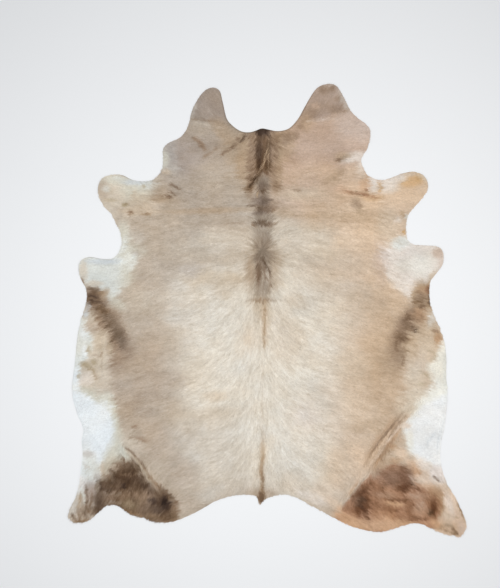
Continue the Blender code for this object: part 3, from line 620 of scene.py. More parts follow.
# The leather's thickness, the steps between the points that its mesh is made
# from, inside and on the rim, and the usual size and spacing of a lock of hair.
SKIN_THICKNESS = 1.8
SKIN_STEP, RIM_STEP = 14.0, 8.0
# Rows of points across a fold, as shares of its half width, their step along it
# and their least distance from the points before them.
FOLD_ROWS = (-1, -0.66, -0.33, 0, 0.33, 0.66, 1)
FOLD_STEP, FOLD_GAP = 10, 4
# The inner points keep these shares of SKIN_STEP from the rim and from the
# points before them. Points nearer than MERGED count as one.
INNER_INSET, INNER_GAP = 0.4, 0.55
MERGED = 1e-4
LOCK_WIDTH, PILE = 2.6, 2.4
LOCK_STEP = 2.86
# Locks vary between these shares of their length, width and pile, and a tip's
# height between these shares of its own lock's. LOCK_BEND is the share of the
# length at which a lock is widest and highest.
LOCK_LENGTHS, LOCK_WIDTHS, LOCK_PILES, TIP_HEIGHTS = (0.75, 1.25), (0.7, 1.2), (0.35, 1.0), (0.5, 1.0)
LOCK_BEND = 0.42
# Spread of a lock's direction in degrees, and of its twist.
LOCK_SPREAD, LOCK_TWIST = 9, 0.15
# Roots keep this far inside the rim and lie this deep in the skin. No hair lies
# lower over the floor than LOWEST_HAIR, and a tip over the rim drops a little.
ROOT_INSET, ROOT_DEPTH = 0.5, 0.3
LOWEST_HAIR, TIP_DROP = 0.3, 0.8
# The share of the overhang that a lock takes up: on average, how much it varies
# from streak to streak and from lock to lock, and at most. A lock is never cut
# to less than SHORTEST of its length.
PROUD_MEAN, PROUD_STREAK, PROUD_EACH, PROUD_MOST = 0.45, 0.35, 0.3, 1.4
SHORTEST = 0.25
# A lock takes its colours from a little way off, so that edges turn feathery:
# this far back by streak and by lock, and this far aside; and for its root, its
# two sides and its tip, these shares of its length on. The shades are how
# bright those four are: painted shade darkens the root deep in the pile, and a
# painted highlight brightens the tip.
BACK_STREAK, BACK_EACH, ASIDE = 5, (-8, 3), 2.5
COLOUR_AT = (0, 0.25, 0.25, 0.6)
PILE_PAINTED_SHADING = (0.72, 0.98, 0.98, 1.06)
# Brightness of the skin under the hair, darkened there as painted shade from
# the hair over it, and how much the hair's tone varies from streak to streak,
# coarse and fine, and from lock to lock.
SKIN_PAINTED_SHADE = 0.8
TONE_COARSE, TONE_FINE, TONE_EACH = 0.022, 0.05, 0.055
TONE_LIMITS = (0.4, 1.5)
# The tone works on red less than on blue: pale hair is whiter and dark hair is
# warmer than the hair around it.
TONE_POWERS = (0.85, 1.0, 1.2)
# Contrast of the tones: more in hair darker than DARK_HAIR, less in hair paler
# than PALE_HAIR, each in full over its span, and less in shorter hair.
DARK_HAIR, DARK_HAIR_SPAN, DARK_CONTRAST = 0.4, 0.35, 1.4
PALE_HAIR, PALE_HAIR_SPAN, PALE_CONTRAST = 0.7, 0.12, 0.55
SHORT_HAIR_POWER = 1.5

# The suede side and the cut edge, as sRGB from 0 to 255.
FLESH_COLOUR, CUT_COLOUR = (214, 196, 170), (206, 196, 184)

# Name, place and diameter in metres, watts and colour of each soft lamp.
LIGHTS = (
    ("softbox_left", (-0.9, -0.3, 3.8), 1.6, 55, (0.972, 0.99, 1.0)),
    ("softbox_right", (0.9, 0.0, 3.8), 1.6, 65, (1.0, 0.993, 0.98)),
)
SKY_COLOUR, SKY_STRENGTH = (0.99, 0.995, 1.0), 0.375
# The floor lies a hair's breadth under the hide, so that the two don't flicker.
FLOOR_COLOUR = (0.85, 0.86, 0.878, 1.0)
FLOOR_HALF, FLOOR_Z = 12, -0.0005
# The point under the camera, and how wide a piece of the floor one side of the
# picture shows.
VIEW_CENTRE, VIEW_WIDTH = (-0.06, 0.0828), 2.94


def smooth_curve(points, closed, steps=12):
    """Points along a centripetal Catmull-Rom curve through the given ones."""
    points = [Vector(p) for p in points]
    if closed:
        points = [points[-1], *points, *points[:2]]
    else:
        points = [2 * points[0] - points[1], *points, 2 * points[-1] - points[-2]]
    line = []
    for p0, p1, p2, p3 in zip(points, points[1:], points[2:], points[3:]):
        t1 = sqrt((p1 - p0).length)
        t2 = t1 + sqrt((p2 - p1).length)
        t3 = t2 + sqrt((p3 - p2).length)
        for i in range(steps):
            t = t1 + (t2 - t1) * i / steps
            a = p0.lerp(p1, t / t1)
            b = p1.lerp(p2, (t - t1) / (t2 - t1))
            c = p2.lerp(p3, (t - t2) / (t3 - t2))
            line.append(a.lerp(b, t / t2).lerp(b.lerp(c, (t - t1) / (t3 - t1)), (t - t1) / (t2 - t1)))
    if not closed:
        line.append(points[-2])
    return line


def even_steps(line, step, closed):
    """The line walked again in equal steps of about the given length."""
    line = line + line[:1] if closed else line
    lengths = [(b - a).length for a, b in zip(line, line[1:])]
    count = max(2, ceil(sum(lengths) / step))
    wanted = [sum(lengths) * i / count for i in range(count if closed else count + 1)]
    walked, done, i = [], 0.0, 0
    for at in wanted:
        while i < len(lengths) - 1 and done + lengths[i] < at:
            done += lengths[i]
            i += 1
        walked.append(line[i].lerp(line[i + 1], min(1.0, (at - done) / lengths[i])))
    return walked


def axis_x():
    return LOW[0] + CELL * np.arange(COLUMNS)


def axis_y():
    return LOW[1] + CELL * np.arange(ROWS)


def window(low_x, high_x, low_y, high_y):
    """The grid's part within these limits: its slices and the x and y in it."""
    first = np.clip(((low_x - LOW[0]) // CELL, (low_y - LOW[1]) // CELL), 0, None).astype(int)
    last = (int((high_x - LOW[0]) // CELL) + 2, int((high_y - LOW[1]) // CELL) + 2)
    rows, columns = slice(first[1], last[1]), slice(first[0], last[0])
    x, y = np.meshgrid(axis_x()[columns], axis_y()[rows])
    return (rows, columns), x, y


def read(field, x, y):
    """The grid field's value at each (x, y), blended from the cells around."""
    across = np.clip((x - LOW[0]) / CELL, 0, COLUMNS - 1.001)
    up = np.clip((y - LOW[1]) / CELL, 0, ROWS - 1.001)
    i, j = across.astype(int), up.astype(int)
    u, v = across - i, up - j
    if field.ndim == 3:
        u, v = u[..., None], v[..., None]
    below = field[j, i] * (1 - u) + field[j, i + 1] * u
    above = field[j + 1, i] * (1 - u) + field[j + 1, i + 1] * u
    return below * (1 - v) + above * v


def noise(cell, seed, x, y):
    """Smooth noise of about -1 to 1, with bumps about as wide as the cell."""
    side = int(NOISE_SPAN / cell) + 3
    lattice = np.random.default_rng(seed).uniform(-1, 1, (side, side))
    u, v = (x - LOW[0] + NOISE_MARGIN) / cell, (y - LOW[1] + NOISE_MARGIN) / cell
    u, v = np.clip(u, 0, lattice.shape[1] - 1.001), np.clip(v, 0, lattice.shape[0] - 1.001)
    i, j = u.astype(int), v.astype(int)
    u, v = u - i, v - j
    u, v = u * u * (3 - 2 * u), v * v * (3 - 2 * v)
    below = lattice[j, i] * (1 - u) + lattice[j, i + 1] * u
    above = lattice[j + 1, i] * (1 - u) + lattice[j + 1, i + 1] * u
    return below * (1 - v) + above * v


def layered(layers, x, y, start=0):
    """The sum of layers of noise, from the start value on."""
    return sum((layer.strength * noise(layer.size, layer.seed, x, y) for layer in layers), start)


def along_route(route, x, y):
    """(distance, share of the route walked) of the route's point nearest each (x, y)."""
    best, walked = np.full(x.shape, 1e9), np.zeros(x.shape)
    for i, (a, b) in enumerate(zip(route, route[1:])):
        run = b - a
        share = np.clip(((x - a.x) * run.x + (y - a.y) * run.y) / run.length_squared, 0, 1)
        distance = np.hypot(x - a.x - share * run.x, y - a.y - share * run.y)
        nearer = distance < best
        best = np.where(nearer, distance, best)
        walked = np.where(nearer, (i + share) / (len(route) - 1), walked)
    return best, walked


def route_line(route, step=ROUTE_STEP):
    return even_steps(smooth_curve(route, closed=False), step, closed=False)


def near_route(route, reach):
    """The grid's part within reach of the route, with along_route's answer there."""
    line = route_line(route)
    xs, ys = [p.x for p in line], [p.y for p in line]
    part, x, y = window(min(xs) - reach, max(xs) + reach, min(ys) - reach, max(ys) + reach)
    return part, *along_route(line, x, y)


def step_up(share):
    """0 below a share of 0, 1 above a share of 1, and smooth in between."""
    share = np.clip(share, 0, 1)
    return share * share * (3 - 2 * share)


def linear(srgb):
    srgb = np.asarray(srgb) / 255
    return np.where(srgb < 0.04045, srgb / 12.92, ((srgb + 0.055) / 1.055) ** 2.4)


def oval_share(oval, fray_x, fray_y):
    """The grid's part around an oval, and the oval's share of the colour there."""
    reach = max(oval.along, oval.across) * (1 + oval.fade) + FRAY_REACH
    part, x, y = window(oval.x - reach, oval.x + reach, oval.y - reach, oval.y + reach)
    fray = np.clip(min(oval.along, oval.across) / FRAYED_SIZE, LEAST_FRAY, 1)
    x, y = x + fray * fray_x[part] - oval.x, y + fray * fray_y[part] - oval.y
    c, s = cos(radians(oval.turn)), sin(radians(oval.turn))
    radius = np.hypot((x * c + y * s) / oval.along, (y * c - x * s) / oval.across)
    return part, oval.strength * step_up((1 + oval.fade - radius) / (2 * oval.fade))


def area_share(area, fray_x, fray_y):
    """The same for an area within an outline."""
    line = even_steps(smooth_curve(area.outline, closed=True), OUTLINE_STEP, closed=True)
    xs, ys = [p.x for p in line], [p.y for p in line]
    reach = area.fade + FRAY_REACH
    part, x, y = window(min(xs) - reach, max(xs) + reach, min(ys) - reach, max(ys) + reach)
    fray = min(1, area.fade / FRAYED_FADE)
    x, y = x + fray * fray_x[part], y + fray * fray_y[part]
    distance, _ = along_route(line + line[:1], x, y)
    inside = np.zeros(x.shape, bool)
    for a, b in zip(line, line[1:] + line[:1]):
        inside ^= ((a.y > y) != (b.y > y)) & (x < a.x + (y - a.y) * (b.x - a.x) / ((b.y - a.y) or 1))
    return part, step_up(0.5 + np.where(inside, distance, -distance) / (2 * area.fade))


def mark_share(mark, worn):
    """The same for a thin mark along a route."""
    part, distance, walked = near_route(mark.route, mark.width)
    ends = step_up(np.minimum(walked, 1 - walked) / MARK_TAPER)
    return part, np.clip(mark.strength * worn[part], 0, 1) * ends * step_up(1 - distance / mark.width)


def painted_coat(way):
    """The coat's colour on the grid, as sRGB from 0 to 255."""
    x, y = np.meshgrid(axis_x(), axis_y())
    fray_x, fray_y = layered(FRAY_X, x, y), layered(FRAY_Y, x, y)
    # How strong the marks are from place to place.
    worn = 0.8 + 0.5 * noise(16, 7, x, y)
    coat = np.empty((ROWS, COLUMNS, 3))
    coat[:] = COLOURS["greige"]
    for shape in COAT:
        if isinstance(shape, Oval):
            part, share = oval_share(shape, fray_x, fray_y)
        elif isinstance(shape, Area):
            part, share = area_share(shape, fray_x, fray_y)
        else:
            part, share = mark_share(shape, worn)
        coat[part] += share[..., None] * (np.array(COLOURS[shape.colour]) - coat[part])
    mottle = layered(MOTTLE, x, y) + 2.5 * streaks(way, cell=30, reach=45, seed=10)
    dark = step_up((DARK_COAT - coat.mean(-1)) / DARK_SPAN)
    mottle += dark * layered(DARK_MOTTLE, x, y, start=1.6 * mottle)
    # Warmth adds red and takes away blue.
    return coat + mottle[..., None] + layered(WARMTH, x, y)[..., None] * np.array((1.0, 0.1, -1.0))


def rim_line(step):
    points = [p for stretch in RIM.values() for p in stretch]
    return even_steps(smooth_curve(points, closed=True), step, closed=True)


def rim_depth(rim):
    """How far each cell lies inside the rim, negative outside it."""
    xs, ys = axis_x(), axis_y()
    x, y = np.meshgrid(xs, ys)
    depth, _ = along_route(rim + rim[:1], x, y)
    inside = np.zeros(x.shape, bool)
    for a, b in zip(rim, rim[1:] + rim[:1]):
        rows = (ys >= min(a.y, b.y)) & (ys < max(a.y, b.y))
        crossing = a.x + (ys[rows] - a.y) * (b.x - a.x) / (b.y - a.y) if rows.any() else 0
        inside[rows] ^= xs[None, :] > np.reshape(crossing, (-1, 1))
    return np.where(inside, depth, -depth)


def bump(share):
    """1 in the middle, falling smoothly to 0 at a share of 1 and beyond."""
    return 0.5 + 0.5 * np.cos(pi * np.clip(np.abs(share), 0, 1))


def relief_of(folds, lifts):
    """How far the skin's underside stands off the floor on the grid."""
    relief = np.zeros((ROWS, COLUMNS))
    for fold in folds:
        part, distance, walked = near_route(fold.route, fold.half_width)
        ends = 1 - bump(np.minimum(walked, 1 - walked) / FOLD_TAPER)
        relief[part] = np.maximum(relief[part], fold.height * bump(distance / fold.half_width) * ends)
    for lift in lifts:
        part, x, y = window(lift.x - lift.reach, lift.x + lift.reach, lift.y - lift.reach, lift.y + lift.reach)
        relief[part] = np.maximum(relief[part], lift.height * bump(np.hypot(x - lift.x, y - lift.y) / lift.reach))
    return relief


def combed():
    """The hair's direction on the grid, as a unit vector."""
    x, y = np.meshgrid(axis_x(), axis_y())
    across = np.array([np.interp(np.abs(axis_x()), COMB_AT, row.fall) for row in COMB])
    heights = [row.y for row in COMB]
    place = np.interp(axis_y(), heights, range(len(COMB)))
    i = np.minimum(place.astype(int), len(COMB) - 2)
    share = (place - i)[:, None]
    fall = radians(1) * (across[i] * (1 - share) + across[i + 1] * share)
    fall += layered(WAVER, x, y)
    # Close to the spine the two sides blend, and the hair lies along it.
    off = np.clip(x / PARTING, -1, 1)
    way = np.stack((off * np.cos(fall), -np.sin(fall) - PARTING_PULL * (1 - np.abs(off))), -1)
    for sweep in SWEEPS:
        pull = bump(np.hypot(x - sweep.x, y - sweep.y) / sweep.reach)[..., None]
        way += SWEEP_PULL * pull * np.array((cos(radians(sweep.heading)), sin(radians(sweep.heading))))
    # The hair on a high fold lies along it.
    for fold in (f for f in FOLDS if f.height >= HIGH_FOLD):
        reach = FOLD_REACH * fold.half_width
        part, distance, walked = near_route(fold.route, reach)
        line = np.array([p[:] for p in route_line(fold.route)])
        along = np.gradient(line, axis=0)
        along /= np.linalg.norm(along, axis=1, keepdims=True)
        heading = np.stack([np.interp(walked, np.linspace(0, 1, len(line)), along[:, i]) for i in (0, 1)], -1)
        way[part] += FOLD_PULL * bump(distance / reach)[..., None] * heading
    return way / np.linalg.norm(way, axis=-1, keepdims=True)


def streaks(way, cell, reach, seed):
    """Noise smeared along the hair's direction, with a spread of 1."""
    x, y = np.meshgrid(axis_x(), axis_y())
    grain = noise(cell, seed, x, y)
    total = grain.copy()
    for side in (-1, 1):
        at_x, at_y = x.copy(), y.copy()
        for _ in range(int(reach / CELL / STRIDE)):
            step = read(way, at_x, at_y) * (STRIDE * CELL * side)
            at_x, at_y = at_x + step[..., 0], at_y + step[..., 1]
            total += read(grain, at_x, at_y)
    total -= total.mean()
    return total / total.std()


def new_mesh(name, points, corners, colours, slots=None):
    """A mesh of triangles in metres, with its colours and a map from above."""
    mesh = bpy.data.meshes.new(name)
    mesh.vertices.add(len(points))
    mesh.vertices.foreach_set("co", (points * MM).astype(np.float32).ravel())
    mesh.loops.add(corners.size)
    mesh.loops.foreach_set("vertex_index", corners.astype(np.int32).ravel())
    mesh.polygons.add(len(corners))
    mesh.polygons.foreach_set("loop_start", np.arange(0, corners.size, 3, dtype=np.int32))
    if slots is not None:
        mesh.polygons.foreach_set("material_index", slots.astype(np.int32))
    mesh.update(calc_edges=True)
    mesh.shade_smooth()
    tint = mesh.color_attributes.new("coat", "FLOAT_COLOR", "POINT")
    tint.data.foreach_set("color", np.c_[colours, np.ones(len(colours))].astype(np.float32).ravel())
    low, high = points.min(0)[:2], points.max(0)[:2]
    chart = mesh.uv_layers.new(name="OFBake")
    chart.data.foreach_set("uv", ((points[corners.ravel(), :2] - low) / (high - low)).astype(np.float32).ravel())
    return mesh


def new_piece(mesh):
    piece = bpy.data.objects.new(mesh.name, mesh)
    bpy.context.scene.collection.objects.link(piece)
    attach(piece, "root")
    return piece


def kept_apart(points, others, distance):
    """The points that lie at least the distance from every one of the others."""
    tree = kdtree.KDTree(len(others))
    for i, p in enumerate(others):
        tree.insert((p.x, p.y, 0.0), i)
    tree.balance()
    return [p for p in points if tree.find((p.x, p.y, 0.0))[2] >= distance]


def fold_points(fold):
    """Rows of points that follow a fold, from foot to crest to foot."""
    line = route_line(fold.route, FOLD_STEP)
    points = []
    for i, p in enumerate(line):
        along = (line[min(i + 1, len(line) - 1)] - line[max(i - 1, 0)]).normalized()
        across = Vector((-along.y, along.x)) * fold.half_width
        points += [p + across * row for row in FOLD_ROWS]
    return points


def skin(hide):
    """The leather: a closed sheet with the coat's colours on its upper side."""
    points = rim_line(RIM_STEP)
    ring = [(i, (i + 1) % len(points)) for i in range(len(points))]
    for fold in FOLDS:
        points += kept_apart(fold_points(fold), points, FOLD_GAP)
    xs = np.arange(LOW[0], LOW[0] + CELL * COLUMNS, SKIN_STEP)
    ys = np.arange(LOW[1], LOW[1] + CELL * ROWS, SKIN_STEP * sqrt(3) / 2)
    lattice = [Vector((x + SKIN_STEP / 2 * (row % 2), y)) for row, y in enumerate(ys) for x in xs]
    depths = read(hide.depth, *np.array([p[:] for p in lattice]).T)
    lattice = [p for p, depth in zip(lattice, depths) if depth > INNER_INSET * SKIN_STEP]
    points += kept_apart(lattice, points, INNER_GAP * SKIN_STEP)
    flat, _, faces, _, _, _ = geometry.delaunay_2d_cdt(points, ring, [], 1, MERGED)
    flat, faces = np.array([p[:] for p in flat]), np.array(faces)
    a, b, c = (flat[faces[:, i]] for i in range(3))
    turned = (b - a)[:, 0] * (c - a)[:, 1] - (b - a)[:, 1] * (c - a)[:, 0] < 0
    faces[turned] = faces[turned][:, ::-1]
    used = np.unique(faces)
    renamed = np.zeros(len(flat), int)
    renamed[used] = np.arange(len(used))
    flat, faces = flat[used], renamed[faces]
    edge = np.array(ring)
    count = len(flat)
    x, y = flat.T
    floor = read(hide.relief, x, y)
    top = floor + SKIN_THICKNESS
    body = np.r_[np.c_[x, y, top], np.c_[x, y, floor]]
    # The rim runs clockwise, so the wall's faces turn with it to look outwards.
    wall = np.r_[np.c_[edge, edge[:, :1] + count], np.c_[edge[:, 1], edge[:, 1] + count, edge[:, 0] + count]]
    corners = np.r_[faces, faces[:, ::-1] + count, wall]
    slots = np.repeat((0, 1, 2), (len(faces), len(faces), len(wall)))
    # The skin's top takes the coat's colours, darkened as painted shade under the hair.
    coat = linear(read(hide.coat, x, y)) * SKIN_PAINTED_SHADE
    mesh = new_mesh("hide_skin", body, corners, np.r_[coat, coat], slots)
    for material in (coat_material("skin", roughness=0.75, fineness=60), flesh_material(), cut_material()):
        mesh.materials.append(material)
    return new_piece(mesh)


def locks(name, hide, x, y, material, length, width, pile):
    """Flat, bent locks of hair rooted at each (x, y) and combed along the hide."""
    count = len(x)
    way = read(hide.way, x, y)
    way /= np.linalg.norm(way, axis=-1, keepdims=True)
    turn = radians(1) * rng.normal(0, LOCK_SPREAD, count)
    c, s = np.cos(turn), np.sin(turn)
    way = np.c_[way[:, 0] * c - way[:, 1] * s, way[:, 0] * s + way[:, 1] * c]
    length = length * rng.uniform(*LOCK_LENGTHS, count)
    depth = read(hide.depth, x, y)
    beyond = read(hide.depth, x + way[:, 0] * length, y + way[:, 1] * length)
    fine = read(hide.fine, x, y)
    # Over the rim the hair hangs in tufts, some longer than others.
    proud = PROUD_MEAN + PROUD_STREAK * fine + rng.uniform(-PROUD_EACH, PROUD_EACH, count)
    proud = np.clip(proud, 0, PROUD_MOST) * read(hide.overhang, x, y)
    over = beyond < -proud
    length[over] *= np.clip(((depth + proud) / (depth - beyond))[over], SHORTEST, 1)
    side = np.c_[-way[:, 1], way[:, 0]]
    root_at = np.c_[x, y]
    middle, tip = root_at + way * (LOCK_BEND * length)[:, None], root_at + way * length[:, None]
    half = (width * rng.uniform(*LOCK_WIDTHS, count) / 2)[:, None]
    twist = rng.normal(0, LOCK_TWIST, count)
    rise = pile * rng.uniform(*LOCK_PILES, count)
    left, right = middle + side * half, middle - side * half

    def lifted(at, height):
        ground = read(hide.relief, at[:, 0], at[:, 1]) + SKIN_THICKNESS
        return np.c_[at, np.maximum(ground + height, LOWEST_HAIR)]

    drop = np.where(over, TIP_DROP, 0.0)
    points = np.stack((
        lifted(root_at, -ROOT_DEPTH),
        lifted(left, rise + half[:, 0] * twist),
        lifted(right, rise - half[:, 0] * twist),
        lifted(tip, rise * rng.uniform(*TIP_HEIGHTS, count) - drop),
    ), 1).reshape(-1, 3)
    first = 4 * np.arange(count)[:, None]
    corners = np.concatenate((first + (0, 2, 1), first + (1, 2, 3)), 1).reshape(-1, 3)
    back = (BACK_STREAK * fine + rng.uniform(*BACK_EACH, count)) * length / USUAL.length
    aside = side * rng.normal(0, ASIDE, count)[:, None]
    taken = [root_at + way * (back + share * length)[:, None] + aside for share in COLOUR_AT]
    colours = np.stack([linear(read(hide.coat, *at.T)) for at in taken], 1)
    pale = colours[:, 0].mean(-1)
    contrast = 1 + DARK_CONTRAST * step_up((DARK_HAIR - pale) / DARK_HAIR_SPAN)
    contrast -= PALE_CONTRAST * step_up((pale - PALE_HAIR) / PALE_HAIR_SPAN)
    swing = (length / USUAL.length) ** SHORT_HAIR_POWER * contrast
    streak = TONE_COARSE * read(hide.coarse, x, y) + TONE_FINE * fine
    tone = np.clip(1 + swing * (streak + TONE_EACH * rng.normal(0, 1, count)), *TONE_LIMITS)
    tone = tone[:, None] ** np.array(TONE_POWERS)
    # Roots are darkened as painted shade deep in the pile and tips brightened as a painted highlight.
    colours = (colours * tone[:, None, :] * np.array(PILE_PAINTED_SHADING)[None, :, None]).reshape(-1, 3)
    mesh = new_mesh(name, points, corners, np.clip(colours, 0, 1))
    mesh.materials.append(material)
    return new_piece(mesh)


def coat_of_hair(hide, material):
    """The hair all over the hide, in six pieces of about the same size."""
    high = LOW + CELL * np.array((COLUMNS, ROWS))
    x, y = np.meshgrid(np.arange(LOW[0], high[0], LOCK_STEP), np.arange(LOW[1], high[1], LOCK_STEP))
    x = (x + rng.uniform(-0.5, 0.5, x.shape) * LOCK_STEP).ravel()
    y = (y + rng.uniform(-0.5, 0.5, y.shape) * LOCK_STEP).ravel()
    kept = read(hide.depth, x, y) > ROOT_INSET
    x, y = x[kept], y[kept]
    order = rng.permutation(len(x))
    x, y = x[order], y[order]
    pieces = []
    for row, bottom, top in HAIR_ROWS:
        for side, left, right in HAIR_SIDES:
            here = (y >= bottom) & (y < top) & (x >= left) & (x < right)
            px, py = x[here], y[here]
            length = read(hide.length, px, py)
            # Shorter hair is finer.
            width = LOCK_WIDTH * (0.7 + 0.3 * length / USUAL.length)
            pile = PILE * length / USUAL.length
            pieces.append(locks(f"hair_{side}_{row}", hide, px, py, material, length, width, pile))
    return pieces


def hair_growth():
    """The hair's length, and how far it hangs over the rim, on the grid."""
    growth = np.empty((ROWS, COLUMNS, 2))
    growth[:] = USUAL.length, USUAL.overhang
    for place in GROWTHS:
        low, high = (np.array((place.x, place.y)) + side * place.reach for side in (-1, 1))
        part, x, y = window(low[0], high[0], low[1], high[1])
        share = step_up(GROWTH_GAIN * bump(np.hypot(x - place.x, y - place.y) / place.reach))[..., None]
        growth[part] += share * (np.array((place.length, place.overhang)) - growth[part])
    return growth[..., 0], growth[..., 1]


def wisps(name, hide, routes, colour, material, count, width, wander, waves):
    """Long wavy strands as narrow ribbons, so many of them along each route."""
    points, corners, colours = [], [], []
    for route in routes:
        line = route_line(route, WISP_STEP)
        for _ in range(count):
            first = rng.integers(0, len(line) // 3)
            last = rng.integers(2 * len(line) // 3, len(line))
            strand = np.array([p[:] for p in line[first:last]])
            along = np.gradient(strand, axis=0)
            along /= np.linalg.norm(along, axis=1, keepdims=True)
            side = np.c_[-along[:, 1], along[:, 0]]
            walk = np.linspace(0, 1, len(strand))
            aside = WISP_ASIDE * rng.normal()
            swing = wander * (aside + np.sin(2 * pi * (waves * walk * rng.uniform(*WISP_WAVES) + rng.uniform())))
            strand = strand + side * swing[:, None]
            # It narrows to both ends, more so to the tip.
            half = (width / 2 * rng.uniform(*LOCK_WIDTHS) * np.sin(pi * (0.08 + 0.9 * walk)))[:, None]
            height = PILE + WISP_RISE * np.sin(2 * pi * (waves * walk + rng.uniform())) + rng.uniform(0, WISP_RISE)
            ground = read(hide.relief, *strand.T) + SKIN_THICKNESS + height
            base = sum(len(p) for p in points)
            ribbon = np.stack((np.c_[strand + side * half, ground], np.c_[strand - side * half, ground]), 1)
            points.append(ribbon.reshape(-1, 3))
            i = base + 2 * np.arange(len(strand) - 1)[:, None]
            corners.append(np.concatenate((i + (0, 1, 2), i + (1, 3, 2)), 1).reshape(-1, 3))
            tone = linear(COLOURS[colour]) * rng.uniform(*WISP_TONES)
            colours.append(np.tile(tone, (2 * len(strand), 1)))
    mesh = new_mesh(name, np.concatenate(points), np.concatenate(corners), np.concatenate(colours))
    mesh.materials.append(material)
    return new_piece(mesh)


def nodes_of(name, roughness):
    material = bpy.data.materials.new(name)
    material.use_nodes = True
    shader = material.node_tree.nodes["Principled BSDF"]
    shader.inputs["Roughness"].default_value = roughness
    return material, material.node_tree, shader


def add(tree, kind, inputs=None, **settings):
    """A new node with these settings and input values; an output is linked in."""
    node = tree.nodes.new(kind)
    for key, value in settings.items():
        setattr(node, key, value)
    for key, value in (inputs or {}).items():
        if isinstance(value, bpy.types.NodeSocket):
            tree.links.new(value, node.inputs[key])
        else:
            node.inputs[key].default_value = value
    return node


def varied(tree, colour, fineness, low, high):
    """The colour times a noise between low and high."""
    place = add(tree, "ShaderNodeTexCoord").outputs["Object"]
    grain = add(tree, "ShaderNodeTexNoise", {"Vector": place, "Scale": fineness, "Detail": 4.0, "Roughness": 0.6})
    value = add(tree, "ShaderNodeMapRange", {"Value": grain.outputs["Fac"], "From Min": 0.3, "From Max": 0.7,
                                             "To Min": low, "To Max": high}).outputs["Result"]
    mixed = add(tree, "ShaderNodeVectorMath", {0: colour, 1: value}, operation="MULTIPLY")
    return mixed.outputs["Vector"], grain.outputs["Fac"]


def coat_material(name, roughness, fineness):
    material, tree, shader = nodes_of(name, roughness)
    tint = add(tree, "ShaderNodeAttribute", attribute_name="coat").outputs["Color"]
    colour, grain = varied(tree, tint, fineness, low=0.94, high=1.06)
    tree.links.new(colour, shader.inputs["Base Color"])
    rough = add(tree, "ShaderNodeMapRange", {"Value": grain, "To Min": roughness - 0.12, "To Max": roughness + 0.12})
    tree.links.new(rough.outputs["Result"], shader.inputs["Roughness"])
    shader.inputs["Specular IOR Level"].default_value = 0.12
    shader.inputs["Sheen Weight"].default_value = 0.04
    shader.inputs["Sheen Roughness"].default_value = 0.5
    return material


def flesh_material():
    """The suede side that lies on the floor: buff, nappy and a little cloudy."""
    material, tree, shader = nodes_of("flesh_side", roughness=0.95)
    buff = add(tree, "ShaderNodeRGB")
    buff.outputs[0].default_value = (*linear(FLESH_COLOUR), 1)
    colour, _ = varied(tree, buff.outputs[0], fineness=7, low=0.86, high=1.08)
    colour, nap = varied(tree, colour, fineness=420, low=0.9, high=1.08)
    tree.links.new(colour, shader.inputs["Base Color"])
    raised = add(tree, "ShaderNodeBump", {"Height": nap, "Strength": 0.35, "Distance": 0.0008})
    tree.links.new(raised.outputs["Normal"], shader.inputs["Normal"])
    shader.inputs["Sheen Weight"].default_value = 0.3
    shader.inputs["Sheen Roughness"].default_value = 0.6
    return material


def cut_material():
    """The cut edge of the leather: pale, with its fibres showing."""
    material, tree, shader = nodes_of("cut_edge", roughness=0.9)
    pale = add(tree, "ShaderNodeRGB")
    pale.outputs[0].default_value = (*linear(CUT_COLOUR), 1)
    colour, fibres = varied(tree, pale.outputs[0], fineness=900, low=0.85, high=1.05)
    tree.links.new(colour, shader.inputs["Base Color"])
    raised = add(tree, "ShaderNodeBump", {"Height": fibres, "Strength": 0.4, "Distance": 0.0005})
    tree.links.new(raised.outputs["Normal"], shader.inputs["Normal"])
    return material


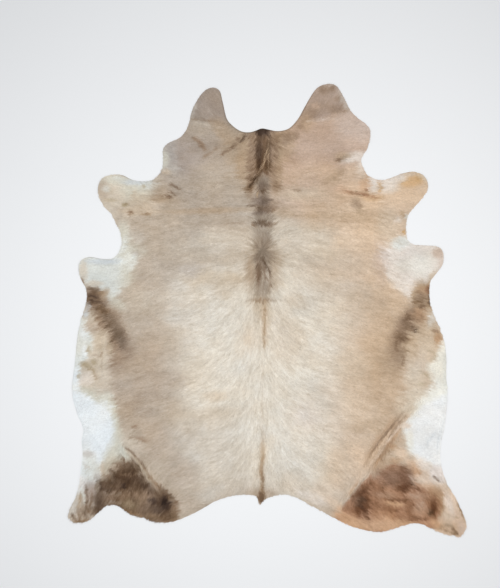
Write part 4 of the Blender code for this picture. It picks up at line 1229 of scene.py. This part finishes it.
def floor_and_light():
    mesh = bpy.data.meshes.new("floor")
    square = ((-1, -1), (1, -1), (1, 1), (-1, 1))
    mesh.from_pydata([(FLOOR_HALF * x, FLOOR_HALF * y, 0) for x, y in square], [], [(0, 1, 2, 3)])
    floor = bpy.data.objects.new("floor", mesh)
    bpy.context.scene.collection.objects.link(floor)
    floor.location.z = FLOOR_Z
    material, _, shader = nodes_of("floor", roughness=0.6)
    shader.inputs["Base Color"].default_value = FLOOR_COLOUR
    shader.inputs["Specular IOR Level"].default_value = 0.2
    mesh.materials.append(material)
    for name, place, size, power, colour in LIGHTS:
        lamp = bpy.data.lights.new(name, "AREA")
        lamp.shape, lamp.size, lamp.energy, lamp.color = "DISK", size, power, colour
        holder = bpy.data.objects.new(name, lamp)
        holder.location = place
        holder.rotation_euler = Vector(place).to_track_quat("Z", "Y").to_euler()
        bpy.context.scene.collection.objects.link(holder)
    world = bpy.data.worlds.new("studio")
    world.use_nodes = True
    world.node_tree.nodes["Background"].inputs["Color"].default_value = (*SKY_COLOUR, 1)
    world.node_tree.nodes["Background"].inputs["Strength"].default_value = SKY_STRENGTH
    bpy.context.scene.world = world


def camera():
    """Straight above, as in the photo."""
    lens = bpy.data.cameras.new("camera")
    lens.lens, lens.sensor_width = 50, 36
    eye = bpy.data.objects.new("camera", lens)
    eye.location = (*VIEW_CENTRE, VIEW_WIDTH * lens.lens / lens.sensor_width)
    bpy.context.scene.collection.objects.link(eye)
    bpy.context.scene.camera = eye
    bpy.context.scene.view_settings.view_transform = "Standard"


Hide = namedtuple("Hide", "depth relief way coarse fine coat length overhang")


def main():
    rim = rim_line(RIM_STEP)
    way = combed()
    length, overhang = hair_growth()
    hide = Hide(
        depth=rim_depth(rim),
        relief=relief_of(FOLDS, LIFTS),
        way=way,
        coarse=streaks(way, cell=12, reach=30, seed=31),
        fine=streaks(way, cell=5, reach=15, seed=32),
        coat=painted_coat(way),
        length=length,
        overhang=overhang,
    )
    sheet = skin(hide)
    fur = coat_material("hair", roughness=0.6, fineness=90)
    pieces = coat_of_hair(hide, fur)
    pieces.append(wisps("hair_poll_curls", hide, POLL_CURLS, "tan", fur, count=7, width=1.2, wander=4, waves=2.2))
    pieces.append(wisps("hair_tail_tuft", hide, TAIL_TUFT, "brown", fur, count=30, width=2.4, wander=5, waves=0.6))
    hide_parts("hide")
    floor_and_light()
    camera()


main()
